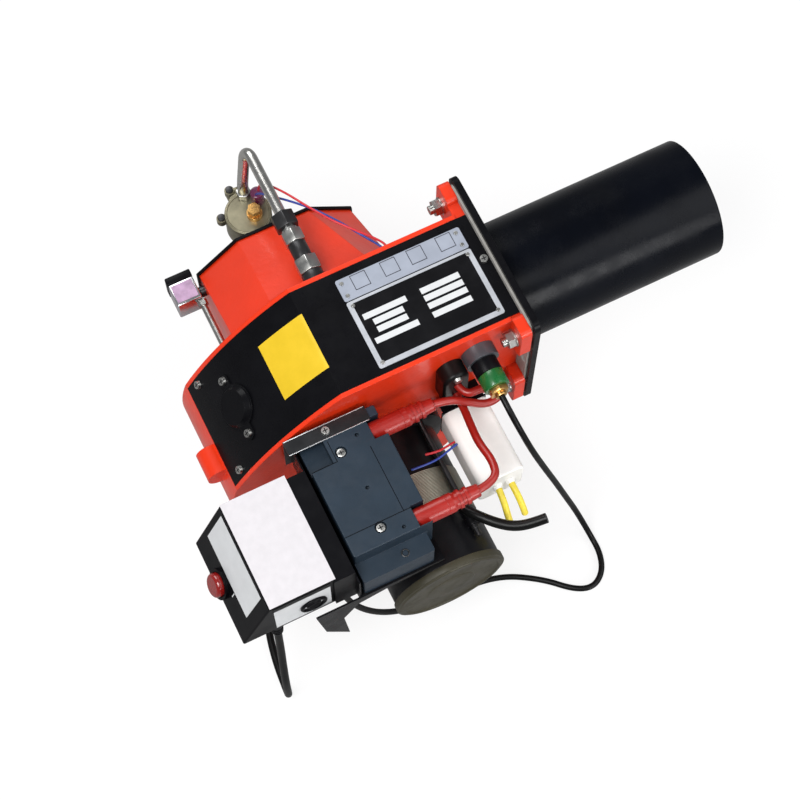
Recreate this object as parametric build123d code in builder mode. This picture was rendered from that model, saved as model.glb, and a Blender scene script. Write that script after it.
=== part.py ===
"""Waste oil burner, in millimetres.

+X is the flame direction, +Z is up and +Y is the air inlet side. The origin is the centre of
the mounting flange's front face, on the axis of the blast tube.
"""
import math
import os

from build123d import *

# Driving dimensions
tube_od = 108.0
tube_wall = 4.0
tube_reach = 197.0
flange_thickness = 6.0
casting_wall = 4.0
housing_left = 48.0
housing_right = -60.0
motor_radius = 50.0
motor_axis_x = -142.0
motor_axis_z = -80.0
fan_radius = 72.0
sheet = 1.5

# Clearances
seat_gap = 0.3
fit_gap = 0.05
hole_gap = 0.25

# Mounting flange, gasket and the casting's front plate
flange_corner = 9.0
gasket_thickness = 2.0
gasket_margin = 4.0
front_plate_thickness = 10.0
front_plate_margin = 4.0
tube_seat = 5.0
lug_height = 44.0
bolt_gap = 8.0
bolt_edge = 11.0
bolt_drop = 27.0
bolt_radius = 4.0
bolt_end = 4.0
nut_flats = 13.0
nut_height = 6.5
washer_radius = 8.0
washer_thickness = 1.6
mount_inset = 9.0
mount_hole_radius = 4.5
bolt_y = bolt_gap - housing_right
flange_size = 2 * (bolt_y + bolt_edge)
bolt_z = flange_size / 2 - bolt_drop
mount_hole_y = flange_size / 2 - mount_inset
front_plate_half_width = -housing_right
front_plate_low = front_plate_margin - flange_size / 2
lug_width = 2 * bolt_edge - 1
flange_back = -flange_thickness
plate_front = flange_back - gasket_thickness
plate_back = plate_front - front_plate_thickness

# Fan housing, a scroll with a square duct towards the tube
cover_top_z = 70.0
cover_bend_x = -172.0
scroll_mid = (-228.0, 29.0)
scroll_rear = (-275.0, -32.0)
scroll_low_rear = (-262.0, -140.0)
scroll_bottom = (-150.0, -198.0)
scroll_tongue = (-46.0, -112.0)
duct_floor = (-40.0, -72.0)
ledge_width = 14.0
ledge_depth = 6.0
floor_z = scroll_bottom[1]
inside_left = housing_left - casting_wall
inside_right = housing_right + casting_wall
housing_middle = (inside_left + inside_right) / 2
cover_recess = sheet + seat_gap
inlet_bore = 57.0
inlet_lip = 2.5
inlet_reach = 22.0
rear_lug_radius = 12.0
rear_lug_front_y = -12.0
rear_lug_width = 26.0

# Cover fittings
screw_radius = 2.0
screw_head = 4.0
screw_head_height = 2.4
screw_length = 8.0
screw_boss = 5.5
cover_front_screw = (plate_front + plate_back) / 2
cover_rear_screw_x = -266.0
port_x = -247.0
port_y = -6.0
port_radius = 20.0
port_ear = 26.0
port_ear_radius = 6.0
port_hole = 11.0
port_dome = 4.0
plate_x0 = -134.0
plate_x1 = -19.0
name_y0 = -51.0
name_y1 = 14.0
symbol_y0 = 15.0
symbol_y1 = 36.0
plate_sheet = 0.8
rivet_radius = 2.0
rivet_height = 1.0
rivet_margin = 4.5

# Motor, along Y
bell_foot_margin = 6.5
bell_foot_thickness = 7.0
bell_wall = 4.0
front_bell_end = -113.0
stack_end = -152.0
stack_proud = 0.6
rear_bell_end = -197.0
cap_end = -205.0
cap_radius = motor_radius + 1.5
spigot_radius = 24.0
shaft_radius = 6.0
core_radius = 27.0
air_gap = 0.8
winding_gap = 4.0
winding_inner = core_radius + winding_gap
yoke_width = 7.0
winding_outer = motor_radius - yoke_width
winding_reach = 9.0
bearing_radius = 16.0
bearing_width = 9.0
tie_radius = 2.5
tie_nut_radius = 3.4
tie_gap = 3.5
tie_offset = motor_radius + tie_gap
tie_angle = 48.0
tie_ear_y = -166.0
tie_ear_depth = 8.0
tie_ear_radius = 6.0
bell_foot_radius = tie_offset + bell_foot_margin

# Fan
fan_hub_radius = 16.0
fan_back_y = -46.0
fan_front_y = 14.0
fan_disc = 1.5
fan_hub_front = -18.0
blade_depth = 12.0
blade_inner_radius = fan_radius - blade_depth
blade_count = 30
blade_bow = 0.8
blade_lead = 2.0
blade_turn = 1.0

# Air inlet hood, its plate and the turning shutter
hood_wall = 3.0
hood_end = 136.0
hood_x = -148.0
hood_half_width = 74.0
hood_z = -51.0
hood_half_height = 56.0
hood_chamfer_x = 40.0
hood_chamfer_z = 34.0
hood_foot_top = 46.0
hood_foot_bottom = -168.0
hood_foot_rear = -224.0
hood_foot_front = -68.0
hood_foot_shoulder = 14.0
hood_foot_waist = -125.0
hood_foot_rear_bevel = 38.0
hood_foot_front_bevel = 24.0
inlet_plate_lip = 2.0
inlet_plate_thickness = 2.5
inlet_z = -68.0
window_outer = 31.0
window_inner = 11.0
window_angle = 56.0
window_count = 3
shutter_radius = 34.0
shutter_tab = 12.0
shutter_tab_height = 14.0
pivot_radius = 4.0
pivot_head = 7.5
pivot_head_height = 3.5
plate_outer = hood_end + inlet_plate_thickness

# Capacitor beside the motor
capacitor_gap = 2.0
capacitor_width = 42.0
capacitor_x0 = motor_axis_x + motor_radius + capacitor_gap
capacitor_x1 = capacitor_x0 + capacitor_width
capacitor_y0 = -80.0
capacitor_y1 = -152.0
capacitor_z0 = -60.0
capacitor_z1 = -18.0
capacitor_corner = 7.0

# Bracket over the motor, with the ignition transformer on its shelf
shelf_z = -10.0
shelf_x1 = -147.0
shelf_end = -196.0
web_x0 = -224.0
web_top = 30.0
tab_thickness = 1.5
tab_x0 = web_x0 - 40
rail_x0 = -230.0
rail_x1 = -156.0
rail_y = -64.0
rail_lip = 13.0
trafo_bottom = shelf_z + sheet
trafo_top = 42.0
trafo_x0 = -219.5
trafo_x1 = -148.0
trafo_y0 = -66.0
trafo_y1 = -178.0
trafo_edge = 2.0
trafo_step_top = 22.0
trafo_step_x1 = -155.0
trafo_step_y = -195.5
notch_depth = 12.0
notch_side = 20.0
notch_end_y = -98.5
recess_radius = 5.0
recess_depth = 4.0
boot_z = 32.0
boot_radius = 8.5
boot_end_radius = 5.5
boot_length = 58.0
boot_upper_y = -84.5
boot_lower_y = -168.0
lead_radius = 3.5

# Control unit behind the transformer
control_top = 44.0
control_bottom = -19.0
control_front_x = -243.0
control_rear_x = -299.0
control_foot_x = -327.0
control_y0 = -91.0
control_y1 = -188.0
control_wall = 2.5
control_edge = 1.5
button_y = -136.0
button_along = 0.80
button_radius = 10.5
button_travel = 3.0
button_skirt = 3.5
button_dome = 6.0
button_stem = 4.0
collar_radius = 13.5
collar_height = 4.0

# Flame sensor and lead bush on the duct's side wall
sensor_x = -49.0
sensor_z = 40.0
sensor_radius = 11.5
sensor_clamp_radius = 14.8
sensor_clamp_depth = 12.0
sensor_body_end = -98.0
sensor_end = -106.0
sensor_bore = 7.5
bush_x = -75.0
bush_z = 14.0
bush_width = 24.0
bush_height = 60.0
bush_depth = 16.0
bush_hole_z = 9.0
bush_screw_z = 24.0
bush_neck_height = 38.0
bush_neck_width = 16.0

# Oil valve, its tube and fittings, and the small air solenoid
valve_x = -161.0
valve_y = 161.5
valve_z0 = -30.0
valve_z1 = -4.0
valve_radius = 21.0
valve_port_z = -18.0
valve_port_radius = 9.0
valve_port_end = 192.0
valve_port_bore = 5.0
valve_port_depth = 10.0
valve_foot_x = 17.0
valve_foot_top = -12.0
valve_screw_z = -20.0
valve_screw_x = 14.0
oil_tube_radius = 5.0
oil_tube_x = -145.0
oil_tube_z = 56.0
oil_tube_top_y = 193.0
oil_tube_bend = 11.0
oil_tube_foot = (-157.0, 179.0)
backnut_room = 11.0
wire_hole_x = -78.5
wire_hole_z = 57.0
wire_hole_radius = 3.0
wire_radius = 1.0
tube_nut_flats = 19.0
tube_body_flats = 17.0
solenoid_x = -240.0
solenoid_y = 129.0
solenoid_z = -35.0
solenoid_width = 24.0
solenoid_length = 30.0
solenoid_height = 26.0
solenoid_stem_y = 125.0
solenoid_stem_z = -38.0
solenoid_stem_radius = 5.0
air_pipe_x = -230.0
air_pipe_z = -30.0
air_pipe_radius = 3.0
air_pipe_nut_flats = 8.0

# Nozzle and ignition parts inside the tube
holder_radius = 8.0
holder_start = 50.0
nozzle_start = 118.0
nozzle_tip = 136.0
nozzle_flats = 16.0
diffuser_gap = 2.0
diffuser_radius = tube_od / 2 - tube_wall - diffuser_gap
diffuser_x = 124.0
diffuser_slots = 8
porcelain_radius = 5.5
porcelain_y = 13.0
porcelain_z = 15.0
porcelain_start = 20.0
porcelain_end = 100.0
electrode_radius = 1.25
clamp_x0 = 60.0
clamp_x1 = 72.0

# Supply lead and sensor cable
power_radius = 3.5
sensor_cable_radius = 2.75
coil_x = -122.0
coil_y = -114.0
coil_inner = 31.0
coil_outer = 45.0
coil_height = 14.0
cord_floor = floor_z + power_radius + 0.1
gland_x = -294.0
gland_y = -179.0
gland_radius = 7.5
gland_end = -35.0
plug_x0 = -236.0
plug_x1 = -205.0
plug_y = -112.6
plug_z = -190.6
plug_half_width = 13.0
plug_half_height = 7.2
plug_pin_radius = 2.4
plug_pin_length = 19.0
plug_pin_y = 9.5

os.makedirs("parts", exist_ok=True)


def at_y(y):
    """A sketch plane at this Y whose normal is -Y, with X to the right and Z up."""
    return Plane.XZ.offset(-y)


def at_x(x):
    """A sketch plane at this X whose normal is +X, with Y to the right and Z up."""
    return Plane.YZ.offset(x)


def block(x_limits, y_limits, z_limits, mode=Mode.ADD):
    """A box between two limits on each axis."""
    spans = [max(pair) - min(pair) for pair in (x_limits, y_limits, z_limits)]
    middle = [sum(pair) / 2 for pair in (x_limits, y_limits, z_limits)]
    with Locations(tuple(middle)):
        Box(*spans, mode=mode)


def corner_radii(points):
    """The radius of each corner of a cord: 0.45 of its shorter run over tan of half the turn."""
    vectors = [Vector(*b) - Vector(*a) for a, b in zip(points, points[1:])]
    radii = []
    for before, after in zip(vectors, vectors[1:]):
        turn = math.radians(before.get_angle(after))
        radii.append(0.45 * min(before.length, after.length) / math.tan(turn / 2))
    return radii


def cord_tube(name, points, radius, radii=None):
    """A cord's tube along straight runs joined by tangent arcs."""
    radii = radii or corner_radii(points)
    with BuildPart() as tube:
        with BuildLine() as route:
            FilletPolyline(*points, radius=radii)
        start = Vector(*points[0])
        heading = Vector(*points[1]) - start
        with BuildSketch(Plane(origin=start, z_dir=heading)):
            Circle(radius)
        path = route.wires()[0]
        sweep(path=path)
    length = path.length
    ratio = tube.part.volume / (math.pi * radius**2 * length)
    print(f"{name}: length {length:.1f}, least radius {min(radii):.1f}, volume ratio {ratio:.3f}")
    return tube.part


def turned(points, centre_x=motor_axis_x, centre_z=motor_axis_z):
    """A solid turned about a line along Y, from (radius, y) points."""
    with BuildPart() as lathe:
        with BuildSketch(Plane.XY.offset(centre_z)):
            with BuildLine():
                Polyline(*[(centre_x + radius, y) for radius, y in points], close=True)
            make_face()
        revolve(axis=Axis((centre_x, 0, centre_z), (0, 1, 0)))
    return lathe.part


def turned_x(points, centre_y=0.0, centre_z=0.0):
    """A solid turned about a line along X, from (x, radius) points."""
    with BuildPart() as lathe:
        with BuildSketch(Plane.XY.offset(centre_z)):
            with BuildLine():
                Polyline(*[(x, centre_y + radius) for x, radius in points], close=True)
            make_face()
        revolve(axis=Axis((0, centre_y, centre_z), (1, 0, 0)))
    return lathe.part


def arc_centre(a, b, c):
    """The centre of the circle through three points."""
    d = 2 * (a[0] * (b[1] - c[1]) + b[0] * (c[1] - a[1]) + c[0] * (a[1] - b[1]))
    squares = [p[0] ** 2 + p[1] ** 2 for p in (a, b, c)]
    x = (squares[0] * (b[1] - c[1]) + squares[1] * (c[1] - a[1]) + squares[2] * (a[1] - b[1])) / d
    z = (squares[0] * (c[0] - b[0]) + squares[1] * (a[0] - c[0]) + squares[2] * (b[0] - a[0])) / d
    return x, z


bolt_spots = [(bolt_y, bolt_z), (-bolt_y, bolt_z), (bolt_y, -bolt_z), (-bolt_y, -bolt_z)]
mount_spots = [(mount_hole_y, 0), (-mount_hole_y, 0)]

# Mounting flange: square plate with two side holes for the boiler door's studs
with BuildPart() as mounting_flange:
    with BuildSketch(at_x(flange_back)):
        RectangleRounded(flange_size, flange_size, flange_corner)
        Circle(tube_od / 2 + fit_gap, mode=Mode.SUBTRACT)
        with Locations(*bolt_spots):
            Circle(bolt_radius + fit_gap, mode=Mode.SUBTRACT)
        with Locations(*mount_spots):
            Circle(mount_hole_radius, mode=Mode.SUBTRACT)
    extrude(amount=flange_thickness)
    fillet(mounting_flange.faces().sort_by(Axis.X)[-1].outer_wire().edges(), flange_thickness / 8)
mounting_flange.part.label = "mounting_flange"
export_step(mounting_flange.part, "parts/mounting_flange.step")

# Gasket between the flange and the casting
with BuildPart() as flange_gasket:
    with BuildSketch(at_x(plate_front)):
        RectangleRounded(flange_size - 2 * gasket_margin, flange_size - 2 * gasket_margin, flange_corner)
        Circle(tube_od / 2 + hole_gap, mode=Mode.SUBTRACT)
        with Locations(*bolt_spots):
            Circle(bolt_radius + hole_gap, mode=Mode.SUBTRACT)
        with Locations(*mount_spots):
            Circle(mount_hole_radius + hole_gap, mode=Mode.SUBTRACT)
    extrude(amount=gasket_thickness)
flange_gasket.part.label = "flange_gasket"
export_step(flange_gasket.part, "parts/flange_gasket.step")

# Blast tube, seated in the casting's front plate
with BuildPart() as blast_tube:
    with BuildSketch(at_x(plate_front - tube_seat)):
        Circle(tube_od / 2)
        Circle(tube_od / 2 - tube_wall, mode=Mode.SUBTRACT)
    extrude(amount=tube_reach - plate_front + tube_seat)
    fillet(blast_tube.edges().filter_by(GeomType.CIRCLE).group_by(Axis.X)[-1], tube_wall / 4)
blast_tube.part.label = "blast_tube"
export_step(blast_tube.part, "parts/blast_tube.step")


def housing_outline(front, inset=0.0):
    """The scroll and duct in side view, drawn on the XZ plane."""
    with BuildSketch(Plane.XZ) as outline:
        with BuildLine():
            Polyline((front, duct_floor[1]), (front, cover_top_z), (cover_bend_x, cover_top_z))
            ThreePointArc((cover_bend_x, cover_top_z), scroll_mid, scroll_rear)
            low_arc = ThreePointArc(scroll_rear, scroll_low_rear, scroll_bottom)
            TangentArc(scroll_bottom, scroll_tongue, tangent=low_arc % 1)
            Polyline(scroll_tongue, duct_floor, (front, duct_floor[1]))
        make_face()
        if inset:
            offset(amount=-inset, kind=Kind.INTERSECTION)
    return outline.sketch


def cover_band(front):
    """The stretch of the outline that the top cover closes, from the front to the scroll's rear."""
    above = cover_top_z + casting_wall
    with BuildSketch(Plane.XZ) as band:
        with BuildLine():
            Polyline(
                (front, above), (front, cover_top_z - 10 * casting_wall),
                (cover_bend_x, cover_top_z - 12 * casting_wall),
                (scroll_rear[0] + 4 * casting_wall, scroll_rear[1]),
                (scroll_rear[0] - 4 * casting_wall, scroll_rear[1]),
                (scroll_rear[0] - 4 * casting_wall, above), close=True,
            )
        make_face()
    return band.sketch


cover_centre = arc_centre((cover_bend_x, cover_top_z), scroll_mid, scroll_rear)
cover_radius = math.dist(cover_centre, scroll_mid)


def on_cover(x, y):
    """The plane that touches the curved top cover at this place, with its Y along the burner's."""
    z = cover_centre[1] + math.sqrt(cover_radius**2 - (x - cover_centre[0]) ** 2)
    outward = Vector(x - cover_centre[0], 0, z - cover_centre[1])
    return Plane(origin=(x, y, z), x_dir=outward.cross(Vector(0, 1, 0)), z_dir=outward)


tube_front = plate_back + 1
profile = housing_outline(tube_front)
cavity = housing_outline(tube_front, casting_wall)
long_profile = housing_outline(tube_reach)
recess_line = housing_outline(tube_reach, cover_recess)
cover_line = housing_outline(tube_reach, sheet)
opening_line = housing_outline(tube_reach, casting_wall + ledge_depth)
screw_planes = [
    Plane(origin=(cover_front_screw, 0, cover_top_z), z_dir=(0, 0, 1)),
    on_cover(cover_rear_screw_x, inside_left - ledge_width / 2),
    on_cover(cover_rear_screw_x, inside_right + ledge_width / 2),
]

# Fan housing: the painted casting
with BuildPart() as fan_housing:
    with BuildSketch(at_y(housing_left)):
        add(profile)
    extrude(amount=housing_left - housing_right)
    with BuildSketch(at_y(inside_left)):
        add(cavity)
    extrude(amount=inside_left - inside_right, mode=Mode.SUBTRACT)
    # Bosses under the cover's rear screws
    for plane in screw_planes[1:]:
        with BuildSketch(plane.offset(-cover_recess - screw_length - 1)):
            Circle(screw_boss)
        extrude(amount=screw_length + 1)
    # Front plate with four lugs, waisted between them
    with BuildSketch(at_x(plate_back)):
        with Locations((0, (cover_top_z - cover_recess + front_plate_low) / 2)):
            Rectangle(2 * front_plate_half_width, cover_top_z - cover_recess - front_plate_low)
        for side in (-1, 1):
            for level in (-1, 1):
                with Locations((side * bolt_y, level * bolt_z)):
                    RectangleRounded(lug_width, lug_height, lug_width / 4)
        with Locations(*bolt_spots):
            Circle(bolt_radius + hole_gap, mode=Mode.SUBTRACT)
    extrude(amount=front_plate_thickness)
    with BuildSketch(at_x(plate_front)):
        Circle(tube_od / 2 + fit_gap)
    extrude(amount=-tube_seat, mode=Mode.SUBTRACT)
    # Air duct through the front plate's back
    with BuildSketch(at_x(plate_back - casting_wall)):
        Circle(tube_od / 2 - tube_wall)
        with Locations((housing_middle, 0)):
            Rectangle(inside_left - inside_right, tube_od, mode=Mode.INTERSECT)
    extrude(amount=casting_wall + front_plate_thickness, mode=Mode.SUBTRACT)
    # Recess that takes the cover, and the opening between the two ledges that carry it
    with BuildSketch(at_y(inside_left)):
        add(cover_band(plate_front + 1))
        add(recess_line, mode=Mode.SUBTRACT)
    extrude(amount=inside_left - inside_right, mode=Mode.SUBTRACT)
    with BuildSketch(at_y(inside_left - ledge_width)):
        add(cover_band(plate_back - casting_wall - ledge_depth))
        add(opening_line, mode=Mode.SUBTRACT)
    extrude(amount=inside_left - inside_right - 2 * ledge_width, mode=Mode.SUBTRACT)
    # Motor spigot hole and air inlet, with its bell mouth reaching into the fan
    with BuildSketch(at_y(inside_right + 1)):
        with Locations((motor_axis_x, motor_axis_z)):
            Circle(spigot_radius)
    extrude(amount=casting_wall + 2, mode=Mode.SUBTRACT)
    with BuildSketch(at_y(inside_left)):
        with Locations((motor_axis_x, motor_axis_z)):
            Circle(inlet_bore + inlet_lip)
    extrude(amount=inlet_reach)
    with BuildSketch(at_y(housing_left + 1)):
        with Locations((motor_axis_x, motor_axis_z)):
            Circle(inlet_bore)
    extrude(amount=casting_wall + inlet_reach + 2, mode=Mode.SUBTRACT)
    # Rear lug
    with BuildSketch(at_y(rear_lug_front_y)):
        with Locations((scroll_rear[0] - rear_lug_radius / 2, scroll_rear[1] - rear_lug_radius)):
            Circle(rear_lug_radius)
        add(housing_outline(tube_front, casting_wall / 2), mode=Mode.SUBTRACT)
    extrude(amount=rear_lug_width)
    # Holes for the leads, the flame sensor and the oil line
    with BuildSketch(at_y(inside_right + 1)):
        with Locations((bush_x, bush_z)):
            SlotOverall(bush_neck_height, bush_neck_width, rotation=90)
        with Locations((bush_x, bush_z + bush_screw_z), (bush_x, bush_z - bush_screw_z)):
            Circle(screw_radius)
        with Locations((sensor_x, sensor_z)):
            Circle(sensor_bore)
    extrude(amount=casting_wall + 2, mode=Mode.SUBTRACT)
    with BuildSketch(at_y(housing_left + 1)):
        with Locations((oil_tube_x, oil_tube_z)):
            Circle(oil_tube_radius + fit_gap)
        with Locations((wire_hole_x, wire_hole_z)):
            Circle(wire_hole_radius)
    extrude(amount=casting_wall + 2, mode=Mode.SUBTRACT)
    with BuildSketch(at_y(inside_left)):
        with Locations((oil_tube_x, oil_tube_z)):
            Circle(backnut_room)
    extrude(amount=ledge_width + 1, mode=Mode.SUBTRACT)
    # Tapped holes under the cover's screws
    for plane in screw_planes:
        with BuildSketch(plane.offset(-screw_length)):
            Circle(screw_radius)
        extrude(amount=screw_length, mode=Mode.SUBTRACT)
fan_housing.part.label = "fan_housing"
export_step(fan_housing.part, "parts/fan_housing.step")

port_plane = on_cover(port_x, port_y)

# Top cover: one bent sheet from the flange over the scroll
with BuildPart() as top_cover:
    with BuildSketch(at_y(inside_left - seat_gap)):
        add(cover_band(plate_front - seat_gap))
        add(long_profile, mode=Mode.INTERSECT)
        add(cover_line, mode=Mode.SUBTRACT)
    extrude(amount=inside_left - inside_right - 2 * seat_gap)
    with BuildSketch(at_y(inside_left)):
        with Locations(scroll_rear):
            Rectangle(4 * sheet, 2 * seat_gap)
    extrude(amount=inside_left - inside_right, mode=Mode.SUBTRACT)
    for plane in screw_planes:
        with BuildSketch(plane.offset(-2 * sheet)):
            Circle(screw_radius + hole_gap)
        extrude(amount=3 * sheet, mode=Mode.SUBTRACT)
    with BuildSketch(port_plane.offset(-2 * sheet)):
        Circle(port_hole)
        with Locations((0, port_ear), (0, -port_ear)):
            Circle(screw_radius + hole_gap)
    extrude(amount=4 * sheet, mode=Mode.SUBTRACT)
top_cover.part.label = "top_cover"
export_step(top_cover.part, "parts/top_cover.step")

# Cap over the sight port: a low dome with two ears
with BuildPart() as sight_port_cap:
    with BuildSketch(port_plane):
        Circle(port_radius)
        with Locations((0, port_ear), (0, -port_ear)):
            Circle(port_ear_radius)
        Rectangle(2 * port_ear_radius, 2 * port_ear)
        with Locations((0, port_ear), (0, -port_ear)):
            Circle(screw_radius + hole_gap, mode=Mode.SUBTRACT)
    extrude(amount=sheet)
    with BuildSketch(port_plane.offset(sheet)):
        Circle(port_radius - 2)
    extrude(amount=port_dome, taper=35)
    with BuildSketch(port_plane.offset(-sheet)):
        Circle(port_hole - hole_gap)
    extrude(amount=sheet)
sight_port_cap.part.label = "sight_port_cap"
export_step(sight_port_cap.part, "parts/sight_port_cap.step")


def name_rivets(y0, y1):
    """The four rivet places of a plate on the cover."""
    return [
        (x, y)
        for x in (plate_x0 + rivet_margin, plate_x1 - rivet_margin)
        for y in (y0 + rivet_margin, y1 - rivet_margin)
    ]


# Aluminium plates on the cover
with BuildPart() as nameplate:
    with BuildSketch(Plane.XY.offset(cover_top_z)):
        with Locations(((plate_x0 + plate_x1) / 2, (name_y0 + name_y1) / 2)):
            RectangleRounded(plate_x1 - plate_x0, name_y1 - name_y0, rivet_radius)
    extrude(amount=plate_sheet)
nameplate.part.label = "nameplate"
export_step(nameplate.part, "parts/nameplate.step")

with BuildPart() as symbol_plate:
    with BuildSketch(Plane.XY.offset(cover_top_z)):
        with Locations(((plate_x0 + plate_x1) / 2, (symbol_y0 + symbol_y1) / 2)):
            RectangleRounded(plate_x1 - plate_x0, symbol_y1 - symbol_y0, rivet_radius)
    extrude(amount=plate_sheet)
symbol_plate.part.label = "symbol_plate"
export_step(symbol_plate.part, "parts/symbol_plate.step")


def pan_screw(plane, length=screw_length):
    """One pan head screw whose head stands on this plane."""
    with BuildPart() as screw:
        with BuildSketch(plane):
            Circle(screw_head)
        extrude(amount=screw_head_height, taper=15)
        with BuildSketch(plane.offset(-length)):
            Circle(screw_radius)
        extrude(amount=length)
    return screw.part


ear_planes = [
    Plane(origin=port_plane.from_local_coords((0, side * port_ear, sheet)), z_dir=port_plane.z_dir)
    for side in (1, -1)
]
bush_face = housing_right - bush_depth
bush_screws = [
    Plane(origin=(bush_x, bush_face, bush_z + side * bush_screw_z), z_dir=(0, -1, 0)) for side in (1, -1)
]
rail_top = trafo_top + sheet
valve_screw_spots = [(valve_x - valve_screw_x, valve_screw_z), (valve_x + valve_screw_x, valve_screw_z)]
valve_screws = [Plane(origin=(x, plate_outer + sheet, z), z_dir=(0, 1, 0)) for x, z in valve_screw_spots]
rail_screw_spot = (-194, rail_y - rail_lip / 2)
rail_screw = Plane(origin=(*rail_screw_spot, rail_top), z_dir=(0, 0, 1))

# Pan head screws of the cover, the cap, the lead bush and the rail, and the plates' rivets
with BuildPart() as small_fasteners:
    for plane in screw_planes:
        add(pan_screw(plane))
    for plane in ear_planes:
        add(pan_screw(plane, 4 * sheet))
    for plane in bush_screws:
        add(pan_screw(plane, bush_depth + casting_wall))
    for plane in valve_screws:
        add(pan_screw(plane, sheet + inlet_plate_thickness))
    add(pan_screw(rail_screw, 2 * sheet))
    for y0, y1 in ((name_y0, name_y1), (symbol_y0, symbol_y1)):
        with BuildSketch(Plane.XY.offset(cover_top_z + plate_sheet)):
            with Locations(*name_rivets(y0, y1)):
                Circle(rivet_radius)
        extrude(amount=rivet_height, taper=25)
small_fasteners.part.label = "small_fasteners"
export_step(small_fasteners.part, "parts/small_fasteners.step")


def hood_foot(inset=0.0):
    """The hood's eight-sided foot on the casting."""
    rear, front = hood_foot_rear + inset, hood_foot_front - inset
    top, bottom = hood_foot_top - inset, hood_foot_bottom + inset
    shoulder, waist = hood_foot_shoulder - inset, hood_foot_waist + inset
    with BuildSketch(at_y(housing_left)) as foot:
        with BuildLine():
            Polyline(
                (rear, shoulder), (rear + hood_foot_rear_bevel, top), (front - hood_foot_front_bevel, top),
                (front, shoulder), (front, waist), (front - hood_foot_front_bevel, bottom),
                (rear + hood_foot_rear_bevel, bottom), (rear, waist), close=True,
            )
        make_face()
    return foot.sketch


def octagon_points(grow=0.0):
    """The hood mouth's eight corners, moved outwards by a margin."""
    wide = hood_half_width + grow
    high = hood_half_height + grow
    flat_x = hood_half_width - hood_chamfer_x + grow / 2
    flat_z = hood_half_height - hood_chamfer_z + grow / 2
    corners = [
        (-wide, flat_z), (-flat_x, high), (flat_x, high), (wide, flat_z),
        (wide, -flat_z), (flat_x, -high), (-flat_x, -high), (-wide, -flat_z),
    ]
    return [(hood_x + x, hood_z + z) for x, z in corners]


def hood_mouth(inset=0.0):
    """The octagon at the hood's outer end."""
    with BuildSketch(at_y(hood_end)) as mouth:
        with BuildLine():
            Polyline(*octagon_points(-inset), close=True)
        make_face()
    return mouth.sketch


# Air inlet hood: a faceted shell from the casting's side to an octagon
with BuildPart() as air_hood:
    loft([hood_foot(), hood_mouth()], ruled=True)
    loft([hood_foot(hood_wall), hood_mouth(hood_wall)], ruled=True, mode=Mode.SUBTRACT)
    with BuildSketch(at_x(solenoid_x)):
        with Locations((solenoid_stem_y, solenoid_stem_z)):
            Circle(solenoid_stem_radius + fit_gap)
    extrude(amount=solenoid_width + 4 * hood_wall, mode=Mode.SUBTRACT)
air_hood.part.label = "air_hood"
export_step(air_hood.part, "parts/air_hood.step")


def air_windows():
    """The air windows, equal sectors about the inlet's centre."""
    half = math.radians(window_angle / 2)
    with BuildSketch(Plane.XZ) as windows:
        for index in range(window_count):
            middle = math.radians(90 + index * 360 / window_count)
            corners = [
                (hood_x + radius * math.cos(middle + turn), inlet_z + radius * math.sin(middle + turn))
                for radius, turn in (
                    (window_inner, -half), (window_outer, -half), (window_outer, 0),
                    (window_outer, half), (window_inner, half), (window_inner, 0),
                )
            ]
            with BuildLine():
                Line(corners[0], corners[1])
                ThreePointArc(corners[1], corners[2], corners[3])
                Line(corners[3], corners[4])
                ThreePointArc(corners[4], corners[5], corners[0])
            make_face()
    return windows.sketch


# Inlet plate that closes the hood
with BuildPart() as inlet_plate:
    with BuildSketch(at_y(plate_outer)):
        with BuildLine():
            Polyline(*octagon_points(inlet_plate_lip), close=True)
        make_face()
        with Locations((hood_x, inlet_z)):
            Circle(pivot_radius, mode=Mode.SUBTRACT)
        with Locations(*valve_screw_spots):
            Circle(screw_radius, mode=Mode.SUBTRACT)
        add(air_windows(), mode=Mode.SUBTRACT)
    extrude(amount=inlet_plate_thickness)
inlet_plate.part.label = "inlet_plate"
export_step(inlet_plate.part, "parts/inlet_plate.step")

shutter_face = plate_outer + seat_gap
pivot_seat = shutter_face + sheet + seat_gap

# Turning shutter with the same windows and a bent finger tab
with BuildPart() as air_shutter:
    with BuildSketch(at_y(shutter_face + sheet)):
        with Locations((hood_x, inlet_z)):
            Circle(shutter_radius)
        with Locations((hood_x + shutter_radius, inlet_z)):
            Rectangle(2 * shutter_tab, shutter_tab)
        with Locations((hood_x, inlet_z)):
            Circle(pivot_radius + fit_gap, mode=Mode.SUBTRACT)
        add(air_windows(), mode=Mode.SUBTRACT)
    extrude(amount=sheet)
    tab_x = hood_x + shutter_radius + shutter_tab
    half_tab = shutter_tab / 2
    block((tab_x - sheet, tab_x), (shutter_face, shutter_face + shutter_tab_height),
          (inlet_z - half_tab, inlet_z + half_tab))
air_shutter.part.label = "air_shutter"
export_step(air_shutter.part, "parts/air_shutter.step")

# Shoulder screw that the shutter turns on, with its nut inside the hood
with BuildPart() as shutter_pivot:
    with BuildSketch(at_y(pivot_seat)):
        with Locations((hood_x, inlet_z)):
            Circle(pivot_radius)
    extrude(amount=pivot_seat - hood_end + pivot_head_height)
    for top in (pivot_seat + pivot_head_height, hood_end):
        with BuildSketch(at_y(top)):
            with Locations((hood_x, inlet_z)):
                RegularPolygon(pivot_head, 6)
        extrude(amount=pivot_head_height)
shutter_pivot.part.label = "shutter_pivot"
export_step(shutter_pivot.part, "parts/shutter_pivot.step")

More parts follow.
